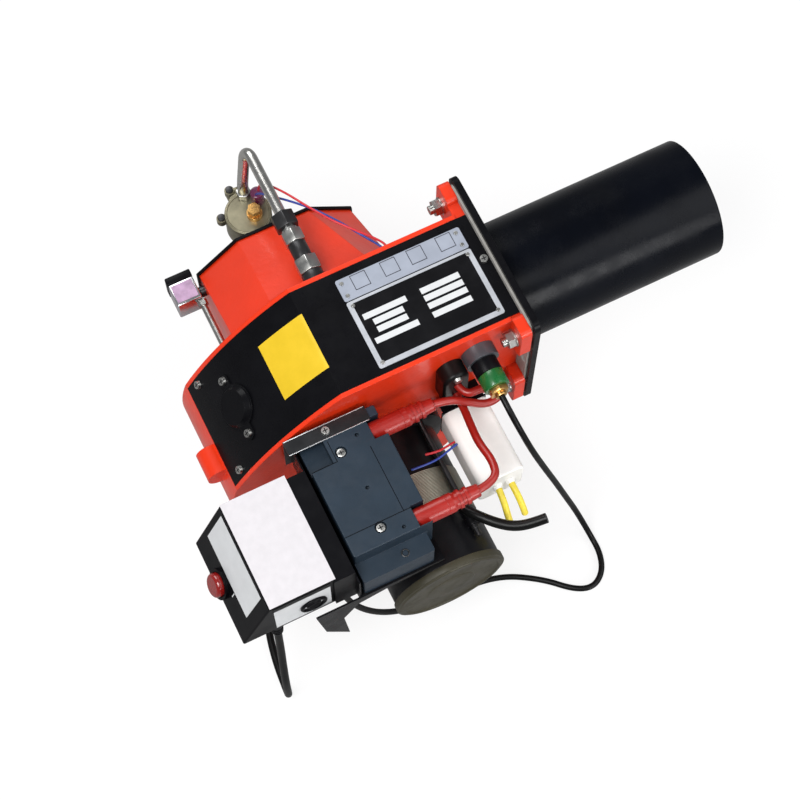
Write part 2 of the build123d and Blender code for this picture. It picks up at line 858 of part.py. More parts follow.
# Flange bolts with nuts and washers on the casting's lugs
with BuildPart() as flange_bolts:
    nut_seat = plate_back - washer_thickness
    with BuildSketch(at_x(nut_seat)):
        with Locations(*bolt_spots):
            Circle(washer_radius)
    extrude(amount=washer_thickness)
    with BuildSketch(at_x(nut_seat - nut_height)):
        with Locations(*bolt_spots):
            RegularPolygon(nut_flats / 2, 6, major_radius=False)
    extrude(amount=nut_height)
    with BuildSketch(at_x(nut_seat - nut_height - bolt_end)):
        with Locations(*bolt_spots):
            Circle(bolt_radius)
    extrude(amount=bolt_end + nut_height - nut_seat - flange_thickness / 6)
flange_bolts.part.label = "flange_bolts"
export_step(flange_bolts.part, "parts/flange_bolts.step")

# Motor's front bell, spigoted into the casting
foot_face = housing_right - bell_foot_thickness
bell_inside = motor_radius - bell_wall
front_bearing_y = foot_face
tie_spots = [
    (motor_axis_x + tie_offset * math.cos(math.radians(tie_angle + 90 * turn)),
     motor_axis_z + tie_offset * math.sin(math.radians(tie_angle + 90 * turn)))
    for turn in range(4)
]
with BuildPart() as motor_front_bell:
    add(turned([
        (shaft_radius + seat_gap, inside_right), (spigot_radius - fit_gap, inside_right),
        (spigot_radius - fit_gap, housing_right), (bell_foot_radius, housing_right),
        (bell_foot_radius, foot_face), (motor_radius, foot_face - bell_wall),
        (motor_radius, front_bell_end), (bell_inside, front_bell_end),
        (bell_inside, front_bearing_y - bearing_width - bell_wall),
        (bearing_radius + bell_wall, front_bearing_y - bearing_width),
        (bearing_radius + fit_gap, front_bearing_y - bearing_width),
        (bearing_radius + fit_gap, front_bearing_y), (shaft_radius + seat_gap, front_bearing_y),
    ]))
    with BuildSketch(at_y(housing_right)):
        with Locations(*tie_spots):
            Circle(tie_radius + fit_gap)
    extrude(amount=3 * bell_foot_thickness, mode=Mode.SUBTRACT)
motor_front_bell.part.label = "motor_front_bell"
export_step(motor_front_bell.part, "parts/motor_front_bell.step")

# Bare stator stack between the bells
with BuildPart() as motor_stator:
    with BuildSketch(at_y(front_bell_end)):
        with Locations((motor_axis_x, motor_axis_z)):
            Circle(motor_radius + stack_proud)
            Circle(core_radius + air_gap, mode=Mode.SUBTRACT)
    extrude(amount=front_bell_end - stack_end)
motor_stator.part.label = "motor_stator"
export_step(motor_stator.part, "parts/motor_stator.step")

# Copper end windings inside the bells
with BuildPart() as motor_windings:
    for start in (front_bell_end + winding_reach, stack_end):
        with BuildSketch(at_y(start)):
            with Locations((motor_axis_x, motor_axis_z)):
                Circle(winding_outer)
                Circle(winding_inner, mode=Mode.SUBTRACT)
        extrude(amount=winding_reach)
motor_windings.part.label = "motor_windings"
export_step(motor_windings.part, "parts/motor_windings.step")

# Rear bell with four ears for the tie rods
rear_wall_y = rear_bell_end + bell_wall
rear_bearing_front = rear_wall_y + bearing_width
with BuildPart() as motor_rear_bell:
    add(turned([
        (bell_inside, stack_end), (motor_radius, stack_end), (motor_radius, rear_bell_end),
        (shaft_radius + seat_gap, rear_bell_end), (shaft_radius + seat_gap, rear_wall_y),
        (bearing_radius + fit_gap, rear_wall_y), (bearing_radius + fit_gap, rear_bearing_front),
        (bearing_radius + bell_wall, rear_bearing_front), (bearing_radius + bell_wall, rear_wall_y),
        (bell_inside, rear_wall_y),
    ]))
    with BuildSketch(at_y(tie_ear_y)):
        with Locations(*tie_spots):
            Circle(tie_ear_radius)
        with Locations((motor_axis_x, motor_axis_z)):
            Circle(motor_radius - fit_gap, mode=Mode.SUBTRACT)
        with Locations(*tie_spots):
            Circle(tie_radius + fit_gap, mode=Mode.SUBTRACT)
    extrude(amount=tie_ear_depth)
motor_rear_bell.part.label = "motor_rear_bell"
export_step(motor_rear_bell.part, "parts/motor_rear_bell.step")

# End cap
with BuildPart() as motor_end_cap:
    with BuildSketch(at_y(rear_bell_end)):
        with Locations((motor_axis_x, motor_axis_z)):
            Circle(cap_radius)
    extrude(amount=rear_bell_end - cap_end)
    fillet(motor_end_cap.faces().sort_by(Axis.Y)[0].outer_wire().edges(), (rear_bell_end - cap_end) / 3)
motor_end_cap.part.label = "motor_end_cap"
export_step(motor_end_cap.part, "parts/motor_end_cap.step")

# Tie rods and their nuts
with BuildPart() as motor_tie_rods:
    nut_face = tie_ear_y - tie_ear_depth
    with BuildSketch(at_y(housing_right)):
        with Locations(*tie_spots):
            Circle(tie_radius)
    extrude(amount=housing_right - nut_face + 4 * tie_radius)
    with BuildSketch(at_y(nut_face)):
        with Locations(*tie_spots):
            Circle(tie_nut_radius)
    extrude(amount=tie_nut_radius)
motor_tie_rods.part.label = "motor_tie_rods"
export_step(motor_tie_rods.part, "parts/motor_tie_rods.step")

# Ball bearings, shown as plain rings
with BuildPart() as motor_bearings:
    for start in (front_bearing_y, rear_bearing_front):
        with BuildSketch(at_y(start)):
            with Locations((motor_axis_x, motor_axis_z)):
                Circle(bearing_radius)
                Circle(shaft_radius + fit_gap, mode=Mode.SUBTRACT)
        extrude(amount=bearing_width)
motor_bearings.part.label = "motor_bearings"
export_step(motor_bearings.part, "parts/motor_bearings.step")

# Shaft with the rotor core on it
core_step = core_radius / 6
with BuildPart() as motor_rotor:
    add(turned([
        (0, fan_hub_front), (shaft_radius, fan_hub_front), (shaft_radius, front_bell_end + core_step),
        (core_radius - core_step, front_bell_end + core_step), (core_radius - core_step, front_bell_end),
        (core_radius, front_bell_end), (core_radius, stack_end), (core_radius - core_step, stack_end),
        (core_radius - core_step, stack_end - core_step), (shaft_radius, stack_end - core_step),
        (shaft_radius, rear_bell_end + seat_gap), (0, rear_bell_end + seat_gap),
    ]))
motor_rotor.part.label = "motor_rotor"
export_step(motor_rotor.part, "parts/motor_rotor.step")


def fan_blades():
    """The forward-curved blades in section, between the disc and the ring."""
    shift = Vector(motor_axis_x, motor_axis_z)
    root = Vector(blade_inner_radius + seat_gap, 0)
    middle = Vector((blade_inner_radius + fan_radius) / 2, 0).rotate(Axis.Z, -blade_bow)
    tip = Vector(fan_radius - seat_gap, 0).rotate(Axis.Z, blade_lead)
    with BuildSketch(Plane.XZ) as blades:
        for index in range(blade_count):
            turn = index * 360 / blade_count
            inner = [p.rotate(Axis.Z, turn) + shift for p in (root, middle, tip)]
            outer = [p.rotate(Axis.Z, turn + blade_turn) + shift for p in (tip, middle, root)]
            with BuildLine():
                ThreePointArc(*inner)
                Line(inner[-1], outer[0])
                ThreePointArc(*outer)
                Line(outer[-1], inner[0])
            make_face()
    return blades.sketch


# Fan: forward-curved blades between a back disc and a front ring
with BuildPart() as fan_impeller:
    with BuildSketch(at_y(fan_back_y + fan_disc)):
        with Locations((motor_axis_x, motor_axis_z)):
            Circle(fan_radius)
            Circle(shaft_radius + fit_gap, mode=Mode.SUBTRACT)
    extrude(amount=fan_disc)
    with BuildSketch(at_y(fan_hub_front)):
        with Locations((motor_axis_x, motor_axis_z)):
            Circle(fan_hub_radius)
            Circle(shaft_radius + fit_gap, mode=Mode.SUBTRACT)
    extrude(amount=fan_hub_front - fan_back_y - fan_disc)
    with BuildSketch(at_y(fan_front_y)):
        with Locations((motor_axis_x, motor_axis_z)):
            Circle(fan_radius)
            Circle(blade_inner_radius, mode=Mode.SUBTRACT)
    extrude(amount=fan_disc)
    with BuildSketch(at_y(fan_front_y - fan_disc)):
        add(fan_blades())
    extrude(amount=fan_front_y - fan_back_y - 2 * fan_disc)
fan_impeller.part.label = "fan_impeller"
export_step(fan_impeller.part, "parts/fan_impeller.step")

# Capacitor, a moulded box with rounded long edges
with BuildPart() as capacitor:
    with BuildSketch(at_y(capacitor_y0)):
        with Locations(((capacitor_x0 + capacitor_x1) / 2, (capacitor_z0 + capacitor_z1) / 2)):
            RectangleRounded(capacitor_x1 - capacitor_x0, capacitor_z1 - capacitor_z0, capacitor_corner)
    extrude(amount=capacitor_y0 - capacitor_y1)
    fillet(capacitor.faces().sort_by(Axis.Y)[0].outer_wire().edges(), capacitor_corner / 4)
capacitor.part.label = "capacitor"
export_step(capacitor.part, "parts/capacitor.step")

# Bent sheet channel that holds the capacitor off the casting
with BuildPart() as capacitor_clamp:
    clamp_x = (capacitor_x0, capacitor_x1)
    clamp_z = (capacitor_z0 + capacitor_corner, capacitor_z1 - capacitor_corner)
    block(clamp_x, (capacitor_y0, capacitor_y0 + sheet), (capacitor_z0, capacitor_z1))
    leg_x = (motor_axis_x + bell_foot_radius, capacitor_x1)
    for z in clamp_z:
        block(leg_x, (capacitor_y0, housing_right), (z - sheet, z))
    block(leg_x, (housing_right - sheet, housing_right), clamp_z)
capacitor_clamp.part.label = "capacitor_clamp"
export_step(capacitor_clamp.part, "parts/capacitor_clamp.step")

# Bracket over the motor: a shelf with an up-flange, a rear web and a hanging side tab
with BuildPart() as control_bracket:
    block((web_x0, shelf_x1), (housing_right, shelf_end), (shelf_z, trafo_bottom))
    block((trafo_x0, shelf_x1 - bell_wall), (housing_right, housing_right - sheet), (shelf_z, shelf_z + 20 * sheet))
    block((web_x0, web_x0 + sheet), (rail_y - sheet, shelf_end), (control_bottom, web_top))
    with BuildSketch(at_y(shelf_end)):
        with BuildLine():
            Polyline(
                (tab_x0, shelf_z), (tab_x0 + 7, shelf_z - 52), (web_x0 - 12, shelf_z - 88),
                (web_x0 - 16, shelf_z - 35), (web_x0 - 2, shelf_z - 12),
                (-200, shelf_z - 4 * sheet), (shelf_x1, shelf_z - sheet), (shelf_x1, trafo_bottom),
                (tab_x0, trafo_bottom), close=True,
            )
        make_face()
    extrude(amount=tab_thickness)
control_bracket.part.label = "control_bracket"
export_step(control_bracket.part, "parts/control_bracket.step")

# Galvanised rail between the casting and the transformer, with its lip over the transformer
with BuildPart() as transformer_rail:
    block((rail_x0, rail_x1), (rail_y, rail_y - sheet), (trafo_bottom, rail_top))
    block((rail_x0, rail_x1), (rail_y, rail_y - rail_lip), (trafo_top, rail_top))
    with BuildSketch(rail_screw.offset(-2 * sheet)):
        Circle(screw_radius)
    extrude(amount=3 * sheet, mode=Mode.SUBTRACT)
transformer_rail.part.label = "transformer_rail"
export_step(transformer_rail.part, "parts/transformer_rail.step")

# Ignition transformer: potted block with a lower step and terminal recesses
with BuildPart() as ignition_transformer:
    block((trafo_x0, trafo_x1), (trafo_y0, trafo_y1), (trafo_bottom, trafo_top))
    block((trafo_x0, trafo_step_x1), (trafo_y1, trafo_step_y), (trafo_bottom, trafo_step_top))
    fillet(ignition_transformer.edges().filter_by(Axis.Z), trafo_edge)
    fillet(ignition_transformer.faces().sort_by(Axis.Z)[-1].outer_wire().edges(), trafo_edge / 2)
    block((trafo_x0 - 1, trafo_x0 + notch_side), (trafo_y0 + 1, notch_end_y), (web_top, trafo_top + 1),
          mode=Mode.SUBTRACT)
    for y in (boot_upper_y, boot_lower_y):
        notch_y = (y - boot_radius - 1, y + boot_radius + 1)
        block((trafo_x1 - notch_depth, trafo_x1 + 1), notch_y, (boot_z - boot_radius - 1, trafo_top + 1),
              mode=Mode.SUBTRACT)
    with BuildSketch(Plane.XY.offset(trafo_top - recess_depth)):
        with Locations((trafo_x0 + 29.5, trafo_y0 - 26), (trafo_x0 + 30.5, trafo_y1 + 14)):
            Circle(recess_radius)
    extrude(amount=2 * recess_depth, mode=Mode.SUBTRACT)
    with BuildSketch(Plane.XY.offset(trafo_top - recess_depth)):
        with Locations((trafo_x1 - 24, trafo_y0 - 18), (trafo_x1 - 24, trafo_y1 + 6), (trafo_x1 - 36, trafo_y0 - 63)):
            Circle(recess_radius / 3)
        with Locations(rail_screw_spot):
            Circle(screw_radius)
    extrude(amount=2 * recess_depth, mode=Mode.SUBTRACT)
ignition_transformer.part.label = "ignition_transformer"
export_step(ignition_transformer.part, "parts/ignition_transformer.step")

# Moulded boots over the two high tension terminals
with BuildPart() as ht_boots:
    boot_x0 = trafo_x1 - notch_depth
    boot_x1 = boot_x0 + boot_length
    ring = boot_length / 12
    for y in (boot_upper_y, boot_lower_y):
        add(turned_x([
            (boot_x0, 0), (boot_x0, boot_radius), (boot_x1 - 5 * ring, boot_radius),
            (boot_x1 - 4.5 * ring, boot_radius - 1), (boot_x1 - 4 * ring, boot_radius - 1),
            (boot_x1 - 4 * ring, boot_radius - 0.2), (boot_x1 - 3.4 * ring, boot_radius - 0.2),
            (boot_x1 - 3.4 * ring, boot_radius - 1.8), (boot_x1 - 2.6 * ring, boot_radius - 1.8),
            (boot_x1 - 2.6 * ring, boot_radius - 0.8), (boot_x1 - 2 * ring, boot_radius - 0.8),
            (boot_x1 - 2 * ring, boot_end_radius + 1), (boot_x1, boot_end_radius), (boot_x1, 0),
        ], y, boot_z))
ht_boots.part.label = "ht_boots"
export_step(ht_boots.part, "parts/ht_boots.step")

# Lead bush in the duct's side wall
bush_holes = [bush_z + bush_hole_z, bush_z - bush_hole_z]
with BuildPart() as lead_grommet:
    with BuildSketch(at_y(housing_right)):
        with Locations((bush_x, bush_z)):
            SlotOverall(bush_height, bush_width, rotation=90)
    extrude(amount=bush_depth)
    fillet(lead_grommet.faces().sort_by(Axis.Y)[0].outer_wire().edges(), bush_depth / 5)
    with BuildSketch(at_y(inside_right + sheet)):
        with Locations((bush_x, bush_z)):
            SlotOverall(bush_neck_height - 2 * fit_gap, bush_neck_width - 2 * fit_gap, rotation=90)
    extrude(amount=casting_wall + sheet)
    with BuildSketch(at_y(inside_right + 2 * sheet)):
        with Locations(*[(bush_x, z) for z in bush_holes]):
            Circle(lead_radius + fit_gap)
        with Locations((bush_x, bush_z + bush_screw_z), (bush_x, bush_z - bush_screw_z)):
            Circle(screw_radius)
    extrude(amount=bush_depth + casting_wall + 3 * sheet, mode=Mode.SUBTRACT)
lead_grommet.part.label = "lead_grommet"
export_step(lead_grommet.part, "parts/lead_grommet.step")

# High tension leads, each whole from its boot through the bush to its electrode
upper_hole, lower_hole = bush_holes
upper_lead = [
    (boot_x1, boot_upper_y, boot_z), (-86, -86, 29), (-71, -91, 16), (-56, -97, 7.5), (-39.5, -94, 9),
    (-41, -89, 23.5), (-57, -87, 24), (bush_x, -86, upper_hole), (bush_x, -43, upper_hole), (-62, -24, 21),
    (-38, -16, 18), (-8, -porcelain_y, porcelain_z), (porcelain_start, -porcelain_y, porcelain_z),
]
lower_lead = [
    (boot_x1, boot_lower_y, boot_z), (-84, -166.5, 31), (-79, -149, 27), (-81, -128, 20), (-78, -108, 11),
    (bush_x, -87, lower_hole), (bush_x, -43, lower_hole), (-62, -22, 8), (-40, -2, 12),
    (-8, porcelain_y, porcelain_z), (porcelain_start, porcelain_y, porcelain_z),
]
with BuildPart() as ht_leads:
    add(cord_tube("upper lead", upper_lead, lead_radius))
    add(cord_tube("lower lead", lower_lead, lead_radius))
ht_leads.part.label = "ht_leads"
export_step(ht_leads.part, "parts/ht_leads.step")

porcelain_spots = [(-porcelain_y, porcelain_z), (porcelain_y, porcelain_z)]

# Porcelain insulators of the electrodes
with BuildPart() as electrode_insulators:
    with BuildSketch(at_x(porcelain_start)):
        with Locations(*porcelain_spots):
            Circle(porcelain_radius)
            Circle(electrode_radius + fit_gap, mode=Mode.SUBTRACT)
    extrude(amount=porcelain_end - porcelain_start)
electrode_insulators.part.label = "electrode_insulators"
export_step(electrode_insulators.part, "parts/electrode_insulators.step")

# Electrode rods, bent in towards the nozzle
with BuildPart() as electrodes:
    for side in (-1, 1):
        rod = [
            (porcelain_start, side * porcelain_y, porcelain_z),
            (porcelain_end + 15, side * porcelain_y, porcelain_z),
            (nozzle_tip + 4, side * 2 * electrode_radius, nozzle_flats / 2 - 2),
        ]
        add(cord_tube("electrode", rod, electrode_radius))
electrodes.part.label = "electrodes"
export_step(electrodes.part, "parts/electrodes.step")

# Clamp that carries the porcelains on the nozzle holder
with BuildPart() as electrode_clamp:
    clamp_reach = porcelain_y + 1.6 * porcelain_radius
    with BuildSketch(at_x(clamp_x0)):
        with BuildLine():
            Polyline(
                (-clamp_reach, porcelain_z - porcelain_radius), (-clamp_reach, clamp_reach),
                (clamp_reach, clamp_reach), (clamp_reach, porcelain_z - porcelain_radius),
                (holder_radius + 3, -holder_radius - 2), (-holder_radius - 3, -holder_radius - 2), close=True,
            )
        make_face()
        Circle(holder_radius + fit_gap, mode=Mode.SUBTRACT)
        with Locations(*porcelain_spots):
            Circle(porcelain_radius + fit_gap, mode=Mode.SUBTRACT)
    extrude(amount=clamp_x1 - clamp_x0)
electrode_clamp.part.label = "electrode_clamp"
export_step(electrode_clamp.part, "parts/electrode_clamp.step")

line_end_y = inside_left - casting_wall

# Oil line inside the casting, from the wall to the nozzle holder
with BuildPart() as nozzle_line:
    inner_route = [
        (oil_tube_x, line_end_y, oil_tube_z), (oil_tube_x, 0, oil_tube_z), (-100, 0, 40), (-66, 0, 0),
        (holder_start, 0, 0),
    ]
    add(cord_tube("nozzle line", inner_route, oil_tube_radius))
nozzle_line.part.label = "nozzle_line"
export_step(nozzle_line.part, "parts/nozzle_line.step")

# Nozzle holder
with BuildPart() as nozzle_holder:
    with BuildSketch(at_x(holder_start)):
        Circle(holder_radius)
    extrude(amount=nozzle_start - holder_start)
nozzle_holder.part.label = "nozzle_holder"
export_step(nozzle_holder.part, "parts/nozzle_holder.step")

# Siphon nozzle with its hexagon and cone
with BuildPart() as oil_nozzle:
    with BuildSketch(at_x(nozzle_start)):
        RegularPolygon(nozzle_flats / 2, 6, major_radius=False)
    extrude(amount=10)
    add(turned_x([
        (nozzle_start + 10, 0), (nozzle_start + 10, 6.5), (nozzle_tip - 4, 6.5), (nozzle_tip, 3),
        (nozzle_tip, 0.6), (nozzle_tip - 3, 0),
    ]))
oil_nozzle.part.label = "oil_nozzle"
export_step(oil_nozzle.part, "parts/oil_nozzle.step")

# Slotted diffuser disc on three legs from a collar
with BuildPart() as diffuser_disc:
    disc_hole = 18.0
    with BuildSketch(at_x(diffuser_x)):
        Circle(diffuser_radius)
        Circle(disc_hole, mode=Mode.SUBTRACT)
        with PolarLocations((disc_hole + diffuser_radius) / 2, diffuser_slots, start_angle=360 / diffuser_slots / 2):
            Rectangle(0.6 * (diffuser_radius - disc_hole), sheet, mode=Mode.SUBTRACT)
    extrude(amount=2)
    collar_x = diffuser_x - 20
    with BuildSketch(at_x(collar_x)):
        Circle(holder_radius + 3)
        Circle(holder_radius + fit_gap, mode=Mode.SUBTRACT)
    extrude(amount=8)
    with BuildSketch(at_x(collar_x)):
        with PolarLocations(disc_hole - 3, 3, start_angle=90):
            Rectangle(10, 2)
    extrude(amount=22)
diffuser_disc.part.label = "diffuser_disc"
export_step(diffuser_disc.part, "parts/diffuser_disc.step")

# Control unit's wall base on the bracket's web
with BuildPart() as control_base:
    base_back = web_x0
    block((control_front_x, base_back), (control_y0 - 3, control_y1 - 2), (control_bottom, control_top))
    block((control_front_x, base_back - control_wall), (control_y0 - 6, control_y1 + 1),
          (control_bottom + 3, control_top - 3), mode=Mode.SUBTRACT)
control_base.part.label = "control_base"
export_step(control_base.part, "parts/control_base.step")

# Circuit board with its relay, on four pillars in the base
board_x = control_front_x + 6
with BuildPart() as control_board:
    board_y = (control_y0 - 10, control_y1 + 6)
    board_z = (control_bottom + 7, control_top - 7)
    block((board_x, board_x + sheet), board_y, board_z)
    block((board_x - 22, board_x), (control_y0 - 59, control_y0 - 29), (control_top - 40, control_top - 10))
    block((board_x - 10, board_x), (control_y1 + 12, control_y1 + 28), (control_bottom + 13, control_top - 14))
    for y in (board_y[0] - 6, board_y[1] + 6):
        for z in (board_z[0] + 6, board_z[1] - 6):
            block((board_x + sheet, base_back - control_wall), (y - 2, y + 2), (z - 2, z + 2))
control_board.part.label = "control_board"
export_step(control_board.part, "parts/control_board.step")

slope = Vector(control_foot_x - control_rear_x, 0, control_bottom - control_top)
button_spot = Vector(control_rear_x, button_y, control_top) + slope * button_along
button_plane = Plane(origin=button_spot, x_dir=(0, 1, 0), z_dir=Vector(slope.Z, 0, -slope.X))

with BuildSketch(Plane.XZ) as control_outline:
    with BuildLine():
        Polyline(
            (control_front_x, control_top), (control_rear_x, control_top),
            (control_foot_x, control_bottom), (control_front_x, control_bottom), close=True,
        )
    make_face()

# Control unit's cover, open towards its base, with the collar of the reset button
with BuildPart() as control_box:
    with BuildSketch(at_y(control_y0)):
        add(control_outline.sketch)
    extrude(amount=control_y0 - control_y1)
    outer_edges = [e for e in control_box.edges() if e.center().X < control_front_x - control_wall]
    fillet(outer_edges, control_edge)
    with BuildSketch(at_y(control_y0 - control_wall)):
        add(control_outline.sketch)
        offset(amount=-control_wall, kind=Kind.INTERSECTION)
    extrude(amount=control_y0 - control_y1 - 2 * control_wall, mode=Mode.SUBTRACT)
    block((control_front_x + 1, control_front_x - 2 * control_wall),
          (control_y0 - control_wall, control_y1 + control_wall),
          (control_bottom + control_wall, control_top - control_wall), mode=Mode.SUBTRACT)
    with BuildSketch(button_plane):
        Circle(collar_radius)
        Circle(button_radius + 2 * hole_gap, mode=Mode.SUBTRACT)
    extrude(amount=collar_height)
    with BuildSketch(button_plane.offset(-2 * control_wall)):
        Circle(button_stem + fit_gap)
    extrude(amount=3 * control_wall, mode=Mode.SUBTRACT)
control_box.part.label = "control_box"
export_step(control_box.part, "parts/control_box.step")

# Reset button on its stem, pushed in along the slanted face's normal
with BuildPart() as reset_button:
    with BuildSketch(button_plane.offset(button_skirt)):
        Circle(button_radius)
    extrude(amount=button_dome)
    dome_top = reset_button.faces().sort_by(lambda face: button_plane.to_local_coords(face.center()).Z)[-1]
    fillet(dome_top.edges(), button_dome / 2)
    with BuildSketch(button_plane.offset(-control_wall - 2 * button_travel)):
        Circle(button_stem)
    extrude(amount=control_wall + 2 * button_travel + button_skirt)
reset_button.part.label = "reset_button"
export_step(reset_button.part, "parts/reset_button.step")

# Cable gland under the control unit
with BuildPart() as cable_gland:
    gland_middle = (control_bottom + gland_end) / 2
    with BuildSketch(Plane.XY.offset(gland_middle)):
        with Locations((gland_x, gland_y)):
            RegularPolygon(gland_radius, 6)
    extrude(amount=control_bottom - gland_middle)
    with BuildSketch(Plane.XY.offset(gland_end)):
        with Locations((gland_x, gland_y)):
            Circle(0.8 * gland_radius)
    extrude(amount=gland_middle - gland_end)
cable_gland.part.label = "cable_gland"
export_step(cable_gland.part, "parts/cable_gland.step")

# Supply cord: from the gland down to the coil, then from the coil to the plug
cord_turn_y = coil_y + coil_outer - power_radius
supply_route = [
    (gland_x, gland_y, gland_end), (-296, -186, -75), (-300, -196, -116), (-303, -205, -148),
    (-303, -206, cord_floor), (-299, -160, cord_floor), (-286, -115, cord_floor), (-252, -80, cord_floor),
    (-195, cord_turn_y, cord_floor), (-138, cord_turn_y, cord_floor),
]
cord_exit_y = coil_y - coil_outer + power_radius
coil_upper = cord_floor + 2 * power_radius
plug_route = [
    (-128, cord_exit_y, coil_upper), (-146, cord_exit_y, coil_upper - 3), (-163.4, -143.8, cord_floor),
    (-171.3, -124.3, cord_floor), (-188.7, plug_y, cord_floor + 1), (plug_x1, plug_y, plug_z),
]
with BuildPart() as power_cord:
    add(cord_tube("supply cord", supply_route, power_radius))
    add(cord_tube("plug end", plug_route, power_radius))
power_cord.part.label = "power_cord"
export_step(power_cord.part, "parts/power_cord.step")

# The supply cord's spare length, wound as a flat coil
with BuildPart() as power_cord_coil:
    with BuildSketch(Plane.XY.offset(floor_z)):
        with Locations((coil_x, coil_y)):
            Circle(coil_outer)
            Circle(coil_inner, mode=Mode.SUBTRACT)
    extrude(amount=coil_height)
power_cord_coil.part.label = "power_cord_coil"
export_step(power_cord_coil.part, "parts/power_cord_coil.step")

# Plain two-pin plug
with BuildPart() as power_plug:
    block((plug_x0, plug_x1), (plug_y - plug_half_width, plug_y + plug_half_width),
          (plug_z - plug_half_height, plug_z + plug_half_height))
    fillet(power_plug.edges().filter_by(Axis.Z), plug_half_height / 2)
    with BuildSketch(at_x(plug_x0 - plug_pin_length)):
        with Locations((plug_y - plug_pin_y, plug_z), (plug_y + plug_pin_y, plug_z)):
            Circle(plug_pin_radius)
    extrude(amount=plug_pin_length)
power_plug.part.label = "power_plug"
export_step(power_plug.part, "parts/power_plug.step")

# Clamp ring that holds the flame sensor on the duct's wall
with BuildPart() as sensor_holder:
    with BuildSketch(at_y(housing_right)):
        with Locations((sensor_x, sensor_z)):
            Circle(sensor_clamp_radius)
            Circle(sensor_radius + fit_gap, mode=Mode.SUBTRACT)
    extrude(amount=sensor_clamp_depth)
sensor_holder.part.label = "sensor_holder"
export_step(sensor_holder.part, "parts/sensor_holder.step")

# Flame sensor: its round body and cable nut
with BuildPart() as flame_sensor:
    with BuildSketch(at_y(housing_right)):
        with Locations((sensor_x, sensor_z)):
            Circle(sensor_radius)
    extrude(amount=housing_right - sensor_body_end)
    fillet(flame_sensor.faces().sort_by(Axis.Y)[0].outer_wire().edges(), 1)
    with BuildSketch(at_y(sensor_body_end)):
        with Locations((sensor_x, sensor_z)):
            RegularPolygon(0.8 * sensor_radius, 6)
    extrude(amount=sensor_body_end - sensor_end)
flame_sensor.part.label = "flame_sensor"
export_step(flame_sensor.part, "parts/flame_sensor.step")

# Flame sensor's cable: down to the standing surface, back under the motor and up to the control unit
cable_floor = floor_z + sensor_cable_radius + 0.1
sensor_route = [
    (sensor_x, sensor_end, sensor_z), (-49, -118, 38.5), (-46.5, -133, 27), (-40, -147, 0), (-29, -154, -40),
    (-17, -160, -82), (-6, -165, -123), (5, -171, -163), (13, -189, cable_floor), (13, -209, cable_floor),
    (6, -226, cable_floor), (-8, -235, cable_floor), (-25, -229, cable_floor), (-47, -207, cable_floor),
    (-82, -186, cable_floor), (-128, -182, cable_floor), (-168, -184, -176), (-198, -186, -138),
    (-220, -183, -96), (-232, -176, -56), (-233.5, -170, control_bottom),
]
with BuildPart() as sensor_cable:
    add(cord_tube("sensor cable", sensor_route, sensor_cable_radius))
sensor_cable.part.label = "sensor_cable"
export_step(sensor_cable.part, "parts/sensor_cable.step")

# Bent sheet that carries the oil valve on the inlet plate
with BuildPart() as valve_bracket:
    foot_x = (valve_x - valve_foot_x, valve_x + valve_foot_x)
    block(foot_x, (plate_outer, plate_outer + sheet), (valve_z0 - sheet, valve_foot_top))
    block(foot_x, (plate_outer, valve_y + valve_foot_x), (valve_z0 - sheet, valve_z0))
    with BuildSketch(at_y(plate_outer + sheet)):
        with Locations(*valve_screw_spots):
            Circle(screw_radius)
    extrude(amount=sheet, mode=Mode.SUBTRACT)
valve_bracket.part.label = "valve_bracket"
export_step(valve_bracket.part, "parts/valve_bracket.step")

valve_ears = [(-166.5, 190.0), (-184.0, 168.0)]
valve_ear_radius = 4.5
foot_boss_radius = 8.0

# Oil valve's body: a round body, two ears, the tube's boss and the threaded inlet port
with BuildPart() as valve_body:
    with BuildSketch(Plane.XY.offset(valve_z0)):
        with Locations((valve_x, valve_y)):
            Circle(valve_radius)
        with Locations(oil_tube_foot):
            Circle(foot_boss_radius)
    extrude(amount=valve_z1 - valve_z0)
    fillet(valve_body.faces().sort_by(Axis.Z)[-1].edges(), 1)
    with BuildSketch(Plane.XY.offset(valve_z1 - 2 * valve_ear_radius)):
        for spot in valve_ears:
            with Locations(spot):
                Circle(valve_ear_radius)
            with Locations(((spot[0] + valve_x) / 2, (spot[1] + valve_y) / 2)):
                Circle(2 * valve_ear_radius)
        with Locations(*valve_ears):
            Circle(valve_ear_radius / 2, mode=Mode.SUBTRACT)
    extrude(amount=1.5 * valve_ear_radius)
    with BuildSketch(at_y(valve_port_end)):
        with Locations((valve_x, valve_port_z)):
            Circle(valve_port_radius)
    extrude(amount=valve_port_end - valve_y)
    with BuildSketch(at_y(valve_port_end)):
        with Locations((valve_x, valve_port_z)):
            Circle(valve_port_bore)
    extrude(amount=valve_port_depth, mode=Mode.SUBTRACT)
valve_body.part.label = "valve_body"
export_step(valve_body.part, "parts/valve_body.step")

cap_spot = (-156.5, 157.0)
cap_base_radius = 7.0
cap_hex_radius = 6.0

# Brass pressure cap on the valve
with BuildPart() as valve_cap:
    with BuildSketch(Plane.XY.offset(valve_z1)):
        with Locations(cap_spot):
            Circle(cap_base_radius)
    extrude(amount=5)
    with BuildSketch(Plane.XY.offset(valve_z1 + 5)):
        with Locations(cap_spot):
            RegularPolygon(cap_hex_radius, 6)
    extrude(amount=8)
valve_cap.part.label = "valve_cap"
export_step(valve_cap.part, "parts/valve_cap.step")

coil_spot = (-148.0, 169.0)
nipple_radius = 6.0
nipple_top = 12.0

